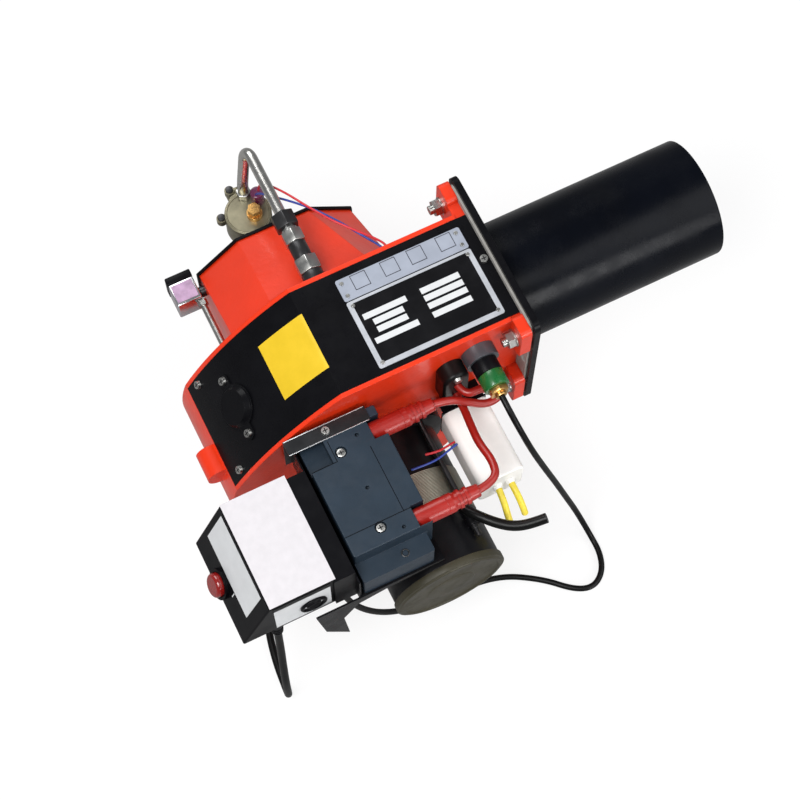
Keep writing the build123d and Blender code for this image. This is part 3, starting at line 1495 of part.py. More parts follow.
# Small round coil of the valve, where its two wires come out
with BuildPart() as valve_coil:
    with BuildSketch(Plane.XY.offset(valve_z1)):
        with Locations(coil_spot):
            Circle(nipple_radius)
    extrude(amount=nipple_top - valve_z1)
    fillet(valve_coil.faces().sort_by(Axis.Z)[-1].edges(), nipple_radius / 4)
valve_coil.part.label = "valve_coil"
export_step(valve_coil.part, "parts/valve_coil.step")

# Bent steel oil tube from the valve to the casting
with BuildPart() as oil_tube:
    tube_route = [
        (*oil_tube_foot, valve_z1), (*oil_tube_foot, 14),
        (oil_tube_x, oil_tube_top_y, oil_tube_z), (oil_tube_x, line_end_y, oil_tube_z),
    ]
    foot_bend = corner_radii(tube_route)[0]
    add(cord_tube("oil tube", tube_route, oil_tube_radius, [foot_bend, oil_tube_bend]))
oil_tube.part.label = "oil_tube"
export_step(oil_tube.part, "parts/oil_tube.step")

tube_bore = oil_tube_radius + fit_gap
hex_fittings = [
    (118, 104, tube_nut_flats), (100, 88, tube_body_flats), (72, 58, tube_nut_flats),
    (inside_left, inside_left - 8, tube_body_flats),
]
round_fittings = [(104, 100, 7.0), (88, 72, 8.0), (58, housing_left, 9.5)]
foot_nut_flats = 12.0

# Compression fittings along the oil tube, its washer and backnut, and the nut at its foot
with BuildPart() as tube_fittings:
    for start, end, flats in hex_fittings:
        with BuildSketch(at_y(start)):
            with Locations((oil_tube_x, oil_tube_z)):
                RegularPolygon(flats / 2, 6, major_radius=False)
                Circle(tube_bore, mode=Mode.SUBTRACT)
        extrude(amount=start - end)
    for start, end, outside in round_fittings:
        with BuildSketch(at_y(start)):
            with Locations((oil_tube_x, oil_tube_z)):
                Circle(outside)
                Circle(tube_bore, mode=Mode.SUBTRACT)
        extrude(amount=start - end)
    with BuildSketch(Plane.XY.offset(valve_z1)):
        with Locations(oil_tube_foot):
            RegularPolygon(foot_nut_flats / 2, 6, major_radius=False)
            Circle(tube_bore, mode=Mode.SUBTRACT)
    extrude(amount=8)
tube_fittings.part.label = "tube_fittings"
export_step(tube_fittings.part, "parts/tube_fittings.step")

# Small air solenoid beside the hood, with its fitting through the hood's wall
with BuildPart() as solenoid_coil:
    half = (solenoid_width / 2, solenoid_length / 2, solenoid_height / 2)
    block((solenoid_x - half[0], solenoid_x + half[0]), (solenoid_y - half[1], solenoid_y + half[1]),
          (solenoid_z - half[2], solenoid_z + half[2]))
    fillet(solenoid_coil.edges().filter_by(Axis.X), 2)
    with BuildSketch(at_x(solenoid_x + half[0])):
        with Locations((solenoid_stem_y, solenoid_stem_z)):
            Circle(solenoid_stem_radius)
    extrude(amount=10)
solenoid_coil.part.label = "solenoid_coil"
export_step(solenoid_coil.part, "parts/solenoid_coil.step")

# Short bright pipe from the solenoid to the casting, with its end nut
with BuildPart() as air_pipe:
    pipe_start = solenoid_y - half[1]
    with BuildSketch(at_y(pipe_start)):
        with Locations((air_pipe_x, air_pipe_z)):
            Circle(air_pipe_radius)
    extrude(amount=pipe_start - housing_left)
    for start in (pipe_start, housing_left + 6):
        with BuildSketch(at_y(start)):
            with Locations((air_pipe_x, air_pipe_z)):
                RegularPolygon(air_pipe_nut_flats / 2, 6, major_radius=False)
        extrude(amount=6)
air_pipe.part.label = "air_pipe"
export_step(air_pipe.part, "parts/air_pipe.step")

# The valve coil's two wires, over the hood and into the casting
red_wire = [
    (-146, 170, nipple_top), (-145, 168, 28), (-141, 155, 44), (-133, 135, 57), (-124, 112, 66),
    (-112, 89, 70), (-97, 72, 68), (-83, 60, 61), (wire_hole_x + 1.4, 52, 57.5),
    (wire_hole_x + 1.4, line_end_y, 57.5),
]
blue_wire = [
    (-149.5, 167, nipple_top), (-149, 160, 27), (-143, 146, 40), (-133, 131, 50), (-119, 111, 58),
    (-105, 88, 63), (-93, 68, 62), (-83, 56, 57), (wire_hole_x - 1.4, 48, 56.5),
    (wire_hole_x - 1.4, line_end_y, 56.5),
]
with BuildPart() as valve_wires:
    add(cord_tube("red wire", red_wire, wire_radius))
    add(cord_tube("blue wire", blue_wire, wire_radius))
valve_wires.part.label = "valve_wires"
export_step(valve_wires.part, "parts/valve_wires.step")

sleeve_radius = 3.0
stub_radius = 4.5
capacitor_tail = capacitor_y1 - 0.1
yellow_sleeves = [
    [(-73, capacitor_tail, -38), (-74, -166, -39), (-75, -177, -50), (-74, -183, -63)],
    [(-61, capacitor_tail, -38), (-61, -164, -38), (-60, -174, -46), (-59, -179, -58)],
]
motor_stub = [
    (-113.4, -146, -32.6), (-111, -160, -26), (-103, -173, -22), (-92, -186, -21), (-80, -196, -19),
    (-66, -201, -15), (-54, -203, -11),
]
motor_leads = [
    [(-137, -115, -11), (-126, -116, -12), (-112, -115, -16), (-100, -111, -19), (capacitor_x0, -108, -22)],
    [(-118, -104, -24.5), (-108, -107, -22), (-99, -106, -23), (capacitor_x0, -104, -26)],
]

# Motor's leads, the sleeves at the capacitor and the capped spare lead
with BuildPart() as motor_wires:
    for route in yellow_sleeves:
        add(cord_tube("sleeve", route, sleeve_radius))
    for route in motor_leads:
        add(cord_tube("motor lead", route, wire_radius))
    add(cord_tube("spare lead", motor_stub, stub_radius))
motor_wires.part.label = "motor_wires"
export_step(motor_wires.part, "parts/motor_wires.step")
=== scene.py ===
"""Look of a waste oil burner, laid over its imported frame.

Places are written in millimetres in the frame's own axes, where +X is the flame direction, +Z is up
and +Y is the air inlet side, and mm() turns them into Blender's metres.
"""
import math

import bmesh
import bpy
from bpy.props import FloatProperty, FloatVectorProperty, PointerProperty
from mathutils import Matrix, Vector


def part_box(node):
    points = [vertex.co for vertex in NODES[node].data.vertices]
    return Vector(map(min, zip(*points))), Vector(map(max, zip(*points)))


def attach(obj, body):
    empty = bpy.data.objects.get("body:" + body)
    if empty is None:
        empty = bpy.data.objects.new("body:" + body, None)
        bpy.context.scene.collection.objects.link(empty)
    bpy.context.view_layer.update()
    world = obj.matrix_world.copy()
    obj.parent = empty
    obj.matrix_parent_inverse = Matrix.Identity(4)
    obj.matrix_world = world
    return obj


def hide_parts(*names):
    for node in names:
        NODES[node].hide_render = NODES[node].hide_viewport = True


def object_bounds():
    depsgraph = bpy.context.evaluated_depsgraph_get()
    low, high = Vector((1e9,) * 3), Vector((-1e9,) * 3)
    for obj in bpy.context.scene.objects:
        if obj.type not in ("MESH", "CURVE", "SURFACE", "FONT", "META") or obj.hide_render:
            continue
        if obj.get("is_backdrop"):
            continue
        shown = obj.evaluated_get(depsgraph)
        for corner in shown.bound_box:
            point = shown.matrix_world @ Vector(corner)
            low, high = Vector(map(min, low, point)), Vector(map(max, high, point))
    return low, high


bl_info = {
    "name": "Waste oil burner",
    "version": (1, 0, 0),
    "blender": (4, 5, 0),
    "location": "View3D > Sidebar > Burner",
    "description": "Dresses the packed burner with its finishes, cords, labels and small pieces",
    "category": "Object",
}

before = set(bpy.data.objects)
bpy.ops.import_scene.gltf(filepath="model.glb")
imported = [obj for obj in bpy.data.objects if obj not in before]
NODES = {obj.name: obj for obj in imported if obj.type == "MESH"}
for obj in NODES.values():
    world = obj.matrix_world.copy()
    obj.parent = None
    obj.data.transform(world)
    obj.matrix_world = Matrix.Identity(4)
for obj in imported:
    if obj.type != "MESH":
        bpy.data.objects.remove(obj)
CAD_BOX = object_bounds()

# Floor and cords
FLOOR_Z = -198.0
POWER_RADIUS = 3.5
SENSOR_RADIUS = 2.75
CORD_FLOOR = FLOOR_Z + POWER_RADIUS + 0.1
CABLE_FLOOR = FLOOR_Z + SENSOR_RADIUS + 0.1
COIL_CENTRE = (-122.0, -114.0)
COIL_OUTER = 41.5
COIL_INNER = 34.5
COIL_STEPS = 20

COIL_TURN = 1260
FLOOR_DROP = 0.3

# Camera and floor
CAMERA_PLACE = (-388.1, -603.9, 1585.1)
CAMERA_HEADING = 63.8
CAMERA_DOWN = 69.0
SENSOR_WIDTH = 36.0
LIGHT_AIM = (-90, -20, 0)
FLOOR_GLOW = 0.8
FLOOR_GLOSS_GLOW = 0.2

# Places that several pieces share
TRANSFORMER_TOP = 42.0
TRANSFORMER_SCREWS = ((-190, -92), (-189, -164))
TRANSFORMER_SCREW_TOP = 40.6
SLANT_START = (-299, 0, 44)
SLANT_RUN = (-28, 0, -63)
SLANT_LENGTH = 68.9
SENSOR_X = -49
SENSOR_Z = 40
TUBE_X = -145
TUBE_Z = 56
BOLT_Y = 68
BOLT_Z = 52
SOFT_ANGLE = math.radians(32)
WAVE_LENGTH = 0.314

# Top cover's curve, through three points of its outline
COVER_ARC = ((-172.0, 70.0), (-228.0, 29.0), (-275.0, -32.0))
COVER_TOP = 70.0
PLATE_TOP = 70.8


def mm(*values):
    """Millimetres to metres, as a vector when there are three."""
    metres = [value * 0.001 for value in values]
    return Vector(metres) if len(metres) > 1 else metres[0]


def colour_setting(name, description, default):
    """One colour of the panel."""
    return FloatVectorProperty(
        name=name, description=description, subtype="COLOR", default=default, min=0, max=1)


class BurnerFinishes(bpy.types.PropertyGroup):
    """Colours of the burner's finishes."""

    casting: colour_setting(
        "Casting enamel", "Glossy enamel of the housing and the hood", (0.68, 0.032, 0.006))
    black: colour_setting(
        "Black enamel", "Satin enamel of the tube, flange and sheets", (0.004, 0.004, 0.005))
    potting: colour_setting(
        "Transformer", "Dark moulding of the ignition transformer", (0.013, 0.024, 0.038))
    silicone: colour_setting(
        "High tension lead", "Silicone of the two thick leads and their boots", (0.30, 0.009, 0.005))
    zinc: colour_setting(
        "Yellow zinc", "Passivated zinc of the oil valve", (0.24, 0.22, 0.15))
    end_cap: colour_setting(
        "Motor end cap", "Paint of the motor's end cap", (0.040, 0.036, 0.022))
    label: colour_setting(
        "Blank label", "Paper and foil of the blank labels", (0.56, 0.57, 0.58))
    caution: colour_setting(
        "Blank yellow label", "Plain film on the curved cover", (0.66, 0.44, 0.012))


class BurnerSizes(bpy.types.PropertyGroup):
    """Small sizes that the CAD leaves open."""

    label_thickness: FloatProperty(
        name="Label thickness", description="Thickness of the printed films and papers", default=0.0002,
        min=0.00005, max=0.001, unit="LENGTH")
    lens: FloatProperty(
        name="Lens", description="Focal length of the camera, in millimetres", default=90.0, min=20,
        max=300)


def sizes():
    """The sizes chosen in the panel."""
    return bpy.context.scene.burner_sizes


def add_node(tree, kind, **values):
    """A node whose sockets are set by name and whose settings by attribute."""
    node = tree.nodes.new(kind)
    for key, value in values.items():
        if hasattr(node, key):
            setattr(node, key, value)
        else:
            node.inputs[key.replace("_", " ")].default_value = value
    return node


def wire(tree, source, output, target, socket):
    """Links one node's output to another node's input."""
    tree.links.new(source.outputs[output], target.inputs[socket])


def shared_group(name, inputs, outputs, detail, roughness):
    """A node group over noise in the object's own space: the group, its input, output and noise."""
    group = bpy.data.node_groups.new(name, "ShaderNodeTree")
    for label, kind, default in inputs:
        group.interface.new_socket(name=label, in_out="INPUT", socket_type=kind).default_value = default
    for label, kind in outputs:
        group.interface.new_socket(name=label, in_out="OUTPUT", socket_type=kind)
    start = add_node(group, "NodeGroupInput")
    end = add_node(group, "NodeGroupOutput")
    place = add_node(group, "ShaderNodeTexCoord")
    noise = add_node(group, "ShaderNodeTexNoise", Detail=detail, Roughness=roughness)
    wire(group, place, "Object", noise, "Vector")
    wire(group, start, "Scale", noise, "Scale")
    return group, start, end, noise


def build_patchy_tone():
    """Slow and fine change of a colour over the surface."""
    group, start, end, noise = shared_group(
        "Patchy tone",
        [("Colour", "NodeSocketColor", (0.5, 0.5, 0.5, 1)), ("Amount", "NodeSocketFloat", 0.08),
         ("Scale", "NodeSocketFloat", 30.0)],
        [("Colour", "NodeSocketColor")], 5.0, 0.6)
    low = add_node(group, "ShaderNodeMath", operation="SUBTRACT")
    high = add_node(group, "ShaderNodeMath", operation="ADD")
    span = add_node(group, "ShaderNodeMapRange", From_Min=0.3, From_Max=0.7)
    scale = add_node(group, "ShaderNodeVectorMath", operation="SCALE")
    for limit, target in ((low, "To Min"), (high, "To Max")):
        limit.inputs[0].default_value = 1.0
        wire(group, start, "Amount", limit, 1)
        wire(group, limit, 0, span, target)
    wire(group, noise, "Fac", span, "Value")
    wire(group, start, "Colour", scale, 0)
    wire(group, span, "Result", scale, "Scale")
    wire(group, scale, 0, end, "Colour")


def build_handled_gloss():
    """Roughness that changes where a surface was handled."""
    group, start, end, noise = shared_group(
        "Handled gloss",
        [("Roughness", "NodeSocketFloat", 0.4), ("Amount", "NodeSocketFloat", 0.1),
         ("Scale", "NodeSocketFloat", 60.0)],
        [("Roughness", "NodeSocketFloat")], 6.0, 0.7)
    mask = add_node(group, "ShaderNodeMapRange", From_Min=0.45, From_Max=0.65)
    grow = add_node(group, "ShaderNodeMath", operation="MULTIPLY_ADD")
    wire(group, noise, "Fac", mask, "Value")
    wire(group, mask, "Result", grow, 0)
    wire(group, start, "Amount", grow, 1)
    wire(group, start, "Roughness", grow, 2)
    wire(group, grow, 0, end, "Roughness")


def build_fine_relief():
    """Fine grain in the normal, laid over softly rounded edges."""
    group, start, end, noise = shared_group(
        "Fine relief",
        [("Scale", "NodeSocketFloat", 900.0), ("Depth", "NodeSocketFloat", 0.00005),
         ("Edge", "NodeSocketFloat", 0.0005)],
        [("Normal", "NodeSocketVector")], 3.0, 0.5)
    edge = add_node(group, "ShaderNodeBevel", samples=4)
    bump = add_node(group, "ShaderNodeBump", Strength=1.0)
    wire(group, start, "Edge", edge, "Radius")
    wire(group, noise, "Fac", bump, "Height")
    wire(group, start, "Depth", bump, "Distance")
    wire(group, edge, "Normal", bump, "Normal")
    wire(group, bump, "Normal", end, "Normal")


def placed_group(tree, name, **values):
    """One of the shared groups in a material, with its own values."""
    node = tree.nodes.new("ShaderNodeGroup")
    node.node_tree = bpy.data.node_groups[name]
    for key, value in values.items():
        node.inputs[key].default_value = value
    return node


def finish(name, colour, roughness, metallic=0.0, tone=0.08, tone_scale=30.0, gloss=0.08,
           gloss_scale=60.0, grain=0.00003, grain_scale=900.0, edge=0.0005, coat=0.0, shine=0.5):
    """A finish: patchy colour, handled gloss and a fine relief over soft edges."""
    if name in bpy.data.materials:
        return bpy.data.materials[name]
    material = bpy.data.materials.new(name)
    material.use_nodes = True
    tree = material.node_tree
    shader = tree.nodes["Principled BSDF"]
    shader.inputs["Metallic"].default_value = metallic
    shader.inputs["Specular IOR Level"].default_value = shine
    if coat:
        shader.inputs["Coat Weight"].default_value = coat
        shader.inputs["Coat Roughness"].default_value = 0.12
    paint = placed_group(tree, "Patchy tone", Colour=(*colour, 1.0), Amount=tone, Scale=tone_scale)
    polish = placed_group(tree, "Handled gloss", Roughness=roughness, Amount=gloss, Scale=gloss_scale)
    relief = placed_group(tree, "Fine relief", Scale=grain_scale, Depth=grain, Edge=edge)
    wire(tree, paint, "Colour", shader, "Base Color")
    wire(tree, polish, "Roughness", shader, "Roughness")
    wire(tree, relief, "Normal", shader, "Normal")
    return material


def banded(material, axis, period, depth, dark):
    """Adds fine bands across one axis to a finish, such as laminations or turning marks."""
    tree = material.node_tree
    shader = tree.nodes["Principled BSDF"]
    place = add_node(tree, "ShaderNodeTexCoord")
    wave = add_node(tree, "ShaderNodeTexWave", bands_direction=axis, Scale=WAVE_LENGTH / period,
                    Distortion=0.3)
    tint = add_node(tree, "ShaderNodeMapRange", To_Min=dark)
    scale = add_node(tree, "ShaderNodeVectorMath", operation="SCALE")
    bump = add_node(tree, "ShaderNodeBump", Distance=depth)
    colour = shader.inputs["Base Color"].links[0].from_socket
    normal = shader.inputs["Normal"].links[0].from_socket
    wire(tree, place, "Object", wave, "Vector")
    wire(tree, wave, "Fac", tint, "Value")
    tree.links.new(colour, scale.inputs[0])
    wire(tree, tint, "Result", scale, "Scale")
    wire(tree, scale, 0, shader, "Base Color")
    wire(tree, wave, "Fac", bump, "Height")
    tree.links.new(normal, bump.inputs["Normal"])
    wire(tree, bump, "Normal", shader, "Normal")
    return material


# Shared finishes: name, colour or the panel's setting that holds it, roughness, and the other values
LOOKS = {
    "casting_enamel": ("Casting enamel", "casting", 0.30, dict(
        tone=0.07, tone_scale=18, gloss=0.10, gloss_scale=25, grain=0.00018, grain_scale=260, edge=0.0012,
        coat=0.2, shine=0.35)),
    "black_enamel": ("Black enamel", "black", 0.26, dict(
        tone=0.25, tone_scale=25, gloss=0.10, gloss_scale=40, grain=0.00002, grain_scale=500, edge=0.0006,
        shine=0.10)),
    # The blast tube's black, with a deeper gloss
    "tube_enamel": ("Tube enamel", (0.0014, 0.0020, 0.004), 0.22, dict(
        tone=0.3, tone_scale=12, gloss=0.14, gloss_scale=20, grain=0.00004, grain_scale=320, edge=0.0008,
        shine=0.12)),
    "black_moulding": ("Black moulding", (0.003, 0.003, 0.004), 0.34, dict(
        tone=0.2, grain=0.00004, grain_scale=1500, edge=0.0008, shine=0.10)),
    "black_rubber": ("Black rubber", (0.003, 0.003, 0.003), 0.34, dict(
        tone=0.2, grain=0.00003, grain_scale=2200, shine=0.2)),
    "potting": ("Transformer moulding", "potting", 0.38, dict(
        tone=0.12, tone_scale=40, grain=0.00006, grain_scale=1300, edge=0.0008, shine=0.35)),
    "bright_steel": ("Bright steel", (0.50, 0.50, 0.48), 0.27, dict(
        metallic=1.0, tone=0.12, tone_scale=90, gloss=0.14, grain=0.00002, edge=0.0004)),
    "dark_steel": ("Dark steel", (0.05, 0.05, 0.052), 0.34, dict(
        metallic=0.8, tone=0.2, tone_scale=80, edge=0.0005)),
    "stainless": ("Stainless", (0.62, 0.61, 0.58), 0.22, dict(
        metallic=1.0, tone=0.14, tone_scale=45, gloss=0.12, grain=0.00002, grain_scale=500)),
    "galvanised": ("Galvanised sheet", (0.50, 0.51, 0.52), 0.36, dict(
        metallic=0.9, tone=0.18, tone_scale=70, gloss=0.15, grain=0.00003)),
    "yellow_zinc": ("Yellow zinc", "zinc", 0.34, dict(
        metallic=0.85, tone=0.30, tone_scale=55, gloss=0.18, grain=0.00005, grain_scale=500, edge=0.0007)),
    "brass": ("Brass", (0.72, 0.42, 0.14), 0.26, dict(
        metallic=1.0, tone=0.15, tone_scale=90, grain=0.00002)),
    "red_silicone": ("Red silicone", "silicone", 0.33, dict(
        tone=0.10, tone_scale=50, gloss=0.1, grain=0.00003, grain_scale=800, coat=0.15)),
    "blank_label": ("Blank label", "label", 0.45, dict(
        tone=0.035, tone_scale=80, grain=0.00001, edge=0.0001)),
    "blank_paper": ("Blank paper", (0.54, 0.52, 0.54), 0.6, dict(
        tone=0.04, tone_scale=140, grain=0.00002, grain_scale=1600, edge=0.0001)),
    # Silver foil of the nameplate's frame
    "silver_foil": ("Silver foil", (0.50, 0.52, 0.56), 0.38, dict(
        metallic=0.45, tone=0.06, tone_scale=60, edge=0.0002)),
    # Cool grey foil of the strip beside the nameplate
    "grey_foil": ("Grey foil", (0.33, 0.36, 0.43), 0.40, dict(
        metallic=0.3, tone=0.06, tone_scale=60, edge=0.0002)),
    "capacitor_white": ("White moulding", (0.84, 0.83, 0.80), 0.34, dict(
        tone=0.04, tone_scale=60, grain=0.00004, grain_scale=900, edge=0.0008)),
    "yellow_film": ("Yellow film", "caution", 0.38, dict(
        tone=0.05, tone_scale=60, grain=0.00001, edge=0.0001)),
    "end_cap_paint": ("End cap paint", "end_cap", 0.40, dict(
        tone=0.15, tone_scale=25, gloss=0.15, grain=0.00006, grain_scale=300, edge=0.0006, shine=0.3)),
}


def look(key):
    """A shared finish, with its colour from the panel where it has a setting there."""
    name, colour, roughness, rest = LOOKS[key]
    if isinstance(colour, str):
        colour = getattr(bpy.context.scene.burner_finishes, colour)
    return finish(name, colour, roughness, **rest)


def dress(material, *nodes):
    """Puts a finish on CAD nodes without touching their meshes."""
    for name in nodes:
        node = NODES[name]
        if not node.material_slots:
            node.data.materials.append(None)
        for place in node.material_slots:
            place.material = material


def deselect():
    """Nothing is selected after this, in object mode."""
    if bpy.context.object and bpy.context.object.mode != "OBJECT":
        bpy.ops.object.mode_set(mode="OBJECT")
    bpy.ops.object.select_all(action="DESELECT")


def apply_place():
    """The active piece's place goes into its mesh."""
    bpy.ops.object.transform_apply(location=True, rotation=True, scale=True)


def add_block(low, high):
    """A box between two corners in millimetres, in its place."""
    deselect()
    middle = (mm(*low) + mm(*high)) / 2
    size = mm(*high) - mm(*low)
    bpy.ops.mesh.primitive_cube_add(size=1, location=middle, scale=[abs(value) for value in size])
    apply_place()
    return bpy.context.object


def add_round(start, end, radius, sides=64):
    """A cylinder between two points in millimetres."""
    deselect()
    axis = mm(*end) - mm(*start)
    turn = axis.to_track_quat("Z", "Y").to_euler()
    bpy.ops.mesh.primitive_cylinder_add(
        vertices=sides, radius=mm(radius), depth=axis.length, location=(mm(*start) + mm(*end)) / 2,
        rotation=turn)
    apply_place()
    return bpy.context.object


def add_plate(centre, across, along, width, height, thickness):
    """A thin plate in metres on a plane given by two directions, standing on its outer side."""
    deselect()
    outward = across.cross(along).normalized()
    turn = Matrix((across.normalized(), along.normalized(), outward)).transposed().to_euler()
    bpy.ops.mesh.primitive_cube_add(
        size=1, location=centre + outward * thickness / 2, rotation=turn, scale=(width, height, thickness))
    apply_place()
    return bpy.context.object


def edit_faces(piece, chosen):
    """Enters edit mode with only the chosen faces selected."""
    deselect()
    piece.select_set(True)
    bpy.context.view_layer.objects.active = piece
    bpy.ops.object.mode_set(mode="EDIT")
    bpy.ops.mesh.select_mode(type="FACE")
    bpy.ops.mesh.select_all(action="DESELECT")
    mesh = bmesh.from_edit_mesh(piece.data)
    for face in mesh.faces:
        face.select_set(chosen(face))
    bmesh.update_edit_mesh(piece.data)


def terrace(piece, outward, steps):
    """Insets the face that looks outward, then raises or sinks it, step by step, in millimetres."""
    outward = Vector(outward).normalized()
    edit_faces(piece, lambda face: face.normal.dot(outward) > 0.99)
    for inset, rise in steps:
        bpy.ops.mesh.inset(thickness=mm(inset), depth=mm(rise))
    bpy.ops.object.mode_set(mode="OBJECT")


def soften(piece, width, segments=2):
    """Rounds a piece's sharp edges, by a width in millimetres, and shades it smooth between them."""
    deselect()
    piece.select_set(True)
    bpy.context.view_layer.objects.active = piece
    bevel = piece.modifiers.new("Soft edges", "BEVEL")
    bevel.width = mm(width)
    bevel.segments = segments
    bevel.limit_method = "ANGLE"
    bevel.angle_limit = SOFT_ANGLE
    bpy.ops.object.modifier_apply(modifier=bevel.name)
    bpy.ops.object.shade_smooth_by_angle(angle=SOFT_ANGLE)


def settle(piece, name, material, soft=None, segments=2):
    """Softens a finished piece if asked, names it, gives it its finish and lets it ride on the frame."""
    if soft is not None:
        soften(piece, soft, segments)
    piece.name = name
    piece.data.name = name
    piece.data.materials.clear()
    piece.data.materials.append(material)
    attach(piece, "frame")
    return piece


def joined(pieces):
    """Several pieces of one kind as one object."""
    deselect()
    for piece in pieces:
        piece.select_set(True)
    bpy.context.view_layer.objects.active = pieces[0]
    if len(pieces) > 1:
        bpy.ops.object.join()
    return pieces[0]


def add_cord(name, points, radius, material):
    """A round cord along one smooth spline through its route's points, in millimetres."""
    curve = bpy.data.curves.new(name, "CURVE")
    curve.dimensions = "3D"
    curve.bevel_depth = mm(radius)
    curve.bevel_resolution = 5
    curve.resolution_u = 10
    curve.use_fill_caps = True
    spline = curve.splines.new("NURBS")
    spline.points.add(len(points) - 1)
    for place, point in zip(spline.points, points):
        place.co = (*mm(*point), 1.0)
    spline.order_u = 3
    spline.use_endpoint_u = True
    cord = bpy.data.objects.new(name, curve)
    bpy.context.collection.objects.link(cord)
    curve.materials.append(material)
    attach(cord, "frame")
    return cord


def coil_points():
    """The coil's turns: two beside each other on the floor, then two on top of them."""
    points = []
    for index in range(1, COIL_TURN * COIL_STEPS // 360):
        turned = index * 360 / COIL_STEPS
        inward = min(max((turned - 315) / 90, 0), 1) - min(max((turned - 855) / 90, 0), 1)
        lifted = min(max((turned - 585) / 90, 0), 1)
        radius = (COIL_OUTER + (COIL_INNER - COIL_OUTER) * inward) / math.cos(math.pi / COIL_STEPS) ** 0.5
        angle = math.radians(90 - turned)
        points.append((
            COIL_CENTRE[0] + radius * math.cos(angle), COIL_CENTRE[1] + radius * math.sin(angle),
            CORD_FLOOR + 2 * POWER_RADIUS * lifted))
    return points


class BURNER_OT_stage(bpy.types.Operator):
    """Makes the camera, the pale floor and the soft studio light"""

    bl_idname = "burner.stage"
    bl_label = "Stage"

    def execute(self, context):
        scene = context.scene
        scene.view_settings.view_transform = "Standard"
        camera_data = bpy.data.cameras.new("camera")
        camera_data.lens = sizes().lens
        camera_data.sensor_width = SENSOR_WIDTH
        camera_data.sensor_fit = "HORIZONTAL"
        camera = bpy.data.objects.new("camera", camera_data)
        camera.location = mm(*CAMERA_PLACE)
        camera.rotation_euler = (math.radians(90 - CAMERA_DOWN), 0, math.radians(CAMERA_HEADING - 90))
        context.collection.objects.link(camera)
        scene.camera = camera
        deselect()
        bpy.ops.mesh.primitive_plane_add(size=8, location=mm(-70, 0, FLOOR_Z - FLOOR_DROP))
        floor = context.object
        floor.name = "floor"
        floor.data.materials.append(self.pale_floor())
        floor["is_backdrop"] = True
        self.light_world(scene)
        for name, place, size, power in (
            ("key light", (-900, -500, 1700), 0.9, 34),
            ("fill light", (1100, -900, 1300), 1.6, 17),
            ("back light", (-300, 1500, 1300), 1.2, 20),
            ("low light", (400, -1700, 500), 0.7, 12),
        ):
            lamp = bpy.data.lights.new(name, "AREA")
            lamp.size = size
            lamp.energy = power
            holder = bpy.data.objects.new(name, lamp)
            holder.location = mm(*place)
            aim = mm(*LIGHT_AIM) - holder.location
            holder.rotation_euler = aim.to_track_quat("-Z", "Y").to_euler()
            context.collection.objects.link(holder)
        return {"FINISHED"}

    def pale_floor(self):
        """White paper: white to the camera, dim in reflections, and the object's shadow falls on it."""
        material = bpy.data.materials.new("Pale floor")
        material.use_nodes = True
        tree = material.node_tree
        shader = tree.nodes["Principled BSDF"]
        shader.inputs["Base Color"].default_value = (0.86, 0.86, 0.86, 1)
        shader.inputs["Roughness"].default_value = 0.9
        white = add_node(tree, "ShaderNodeEmission", Color=(1, 1, 1, 1))
        rays = add_node(tree, "ShaderNodeLightPath")
        glow = add_node(tree, "ShaderNodeMath", operation="MULTIPLY_ADD")
        glow.inputs[1].default_value = 1 - FLOOR_GLOSS_GLOW
        glow.inputs[2].default_value = FLOOR_GLOSS_GLOW
        seen = add_node(tree, "ShaderNodeMath", operation="MAXIMUM")
        share = add_node(tree, "ShaderNodeMath", operation="MULTIPLY")
        share.inputs[1].default_value = FLOOR_GLOW
        blend = add_node(tree, "ShaderNodeMixShader")
        wire(tree, rays, "Is Camera Ray", glow, 0)
        wire(tree, glow, 0, white, "Strength")
        wire(tree, rays, "Is Camera Ray", seen, 0)
        wire(tree, rays, "Is Glossy Ray", seen, 1)
        wire(tree, seen, 0, share, 0)
        wire(tree, share, 0, blend, "Fac")
        wire(tree, shader, 0, blend, 1)
        wire(tree, white, 0, blend, 2)
        wire(tree, blend, 0, tree.nodes["Material Output"], "Surface")
        return material

    def light_world(self, scene):
        """Even pale surroundings, white where the camera sees them."""
        world = scene.world or bpy.data.worlds.new("surroundings")
        scene.world = world
        world.use_nodes = True
        tree = world.node_tree
        tree.nodes.clear()
        output = add_node(tree, "ShaderNodeOutputWorld")
        soft = add_node(tree, "ShaderNodeBackground", Color=(0.95, 0.97, 1.0, 1), Strength=0.22)
        white = add_node(tree, "ShaderNodeBackground", Color=(1, 1, 1, 1))
        rays = add_node(tree, "ShaderNodeLightPath")
        blend = add_node(tree, "ShaderNodeMixShader")
        wire(tree, rays, "Is Camera Ray", blend, "Fac")
        wire(tree, soft, 0, blend, 1)
        wire(tree, white, 0, blend, 2)
        wire(tree, blend, 0, output, "Surface")


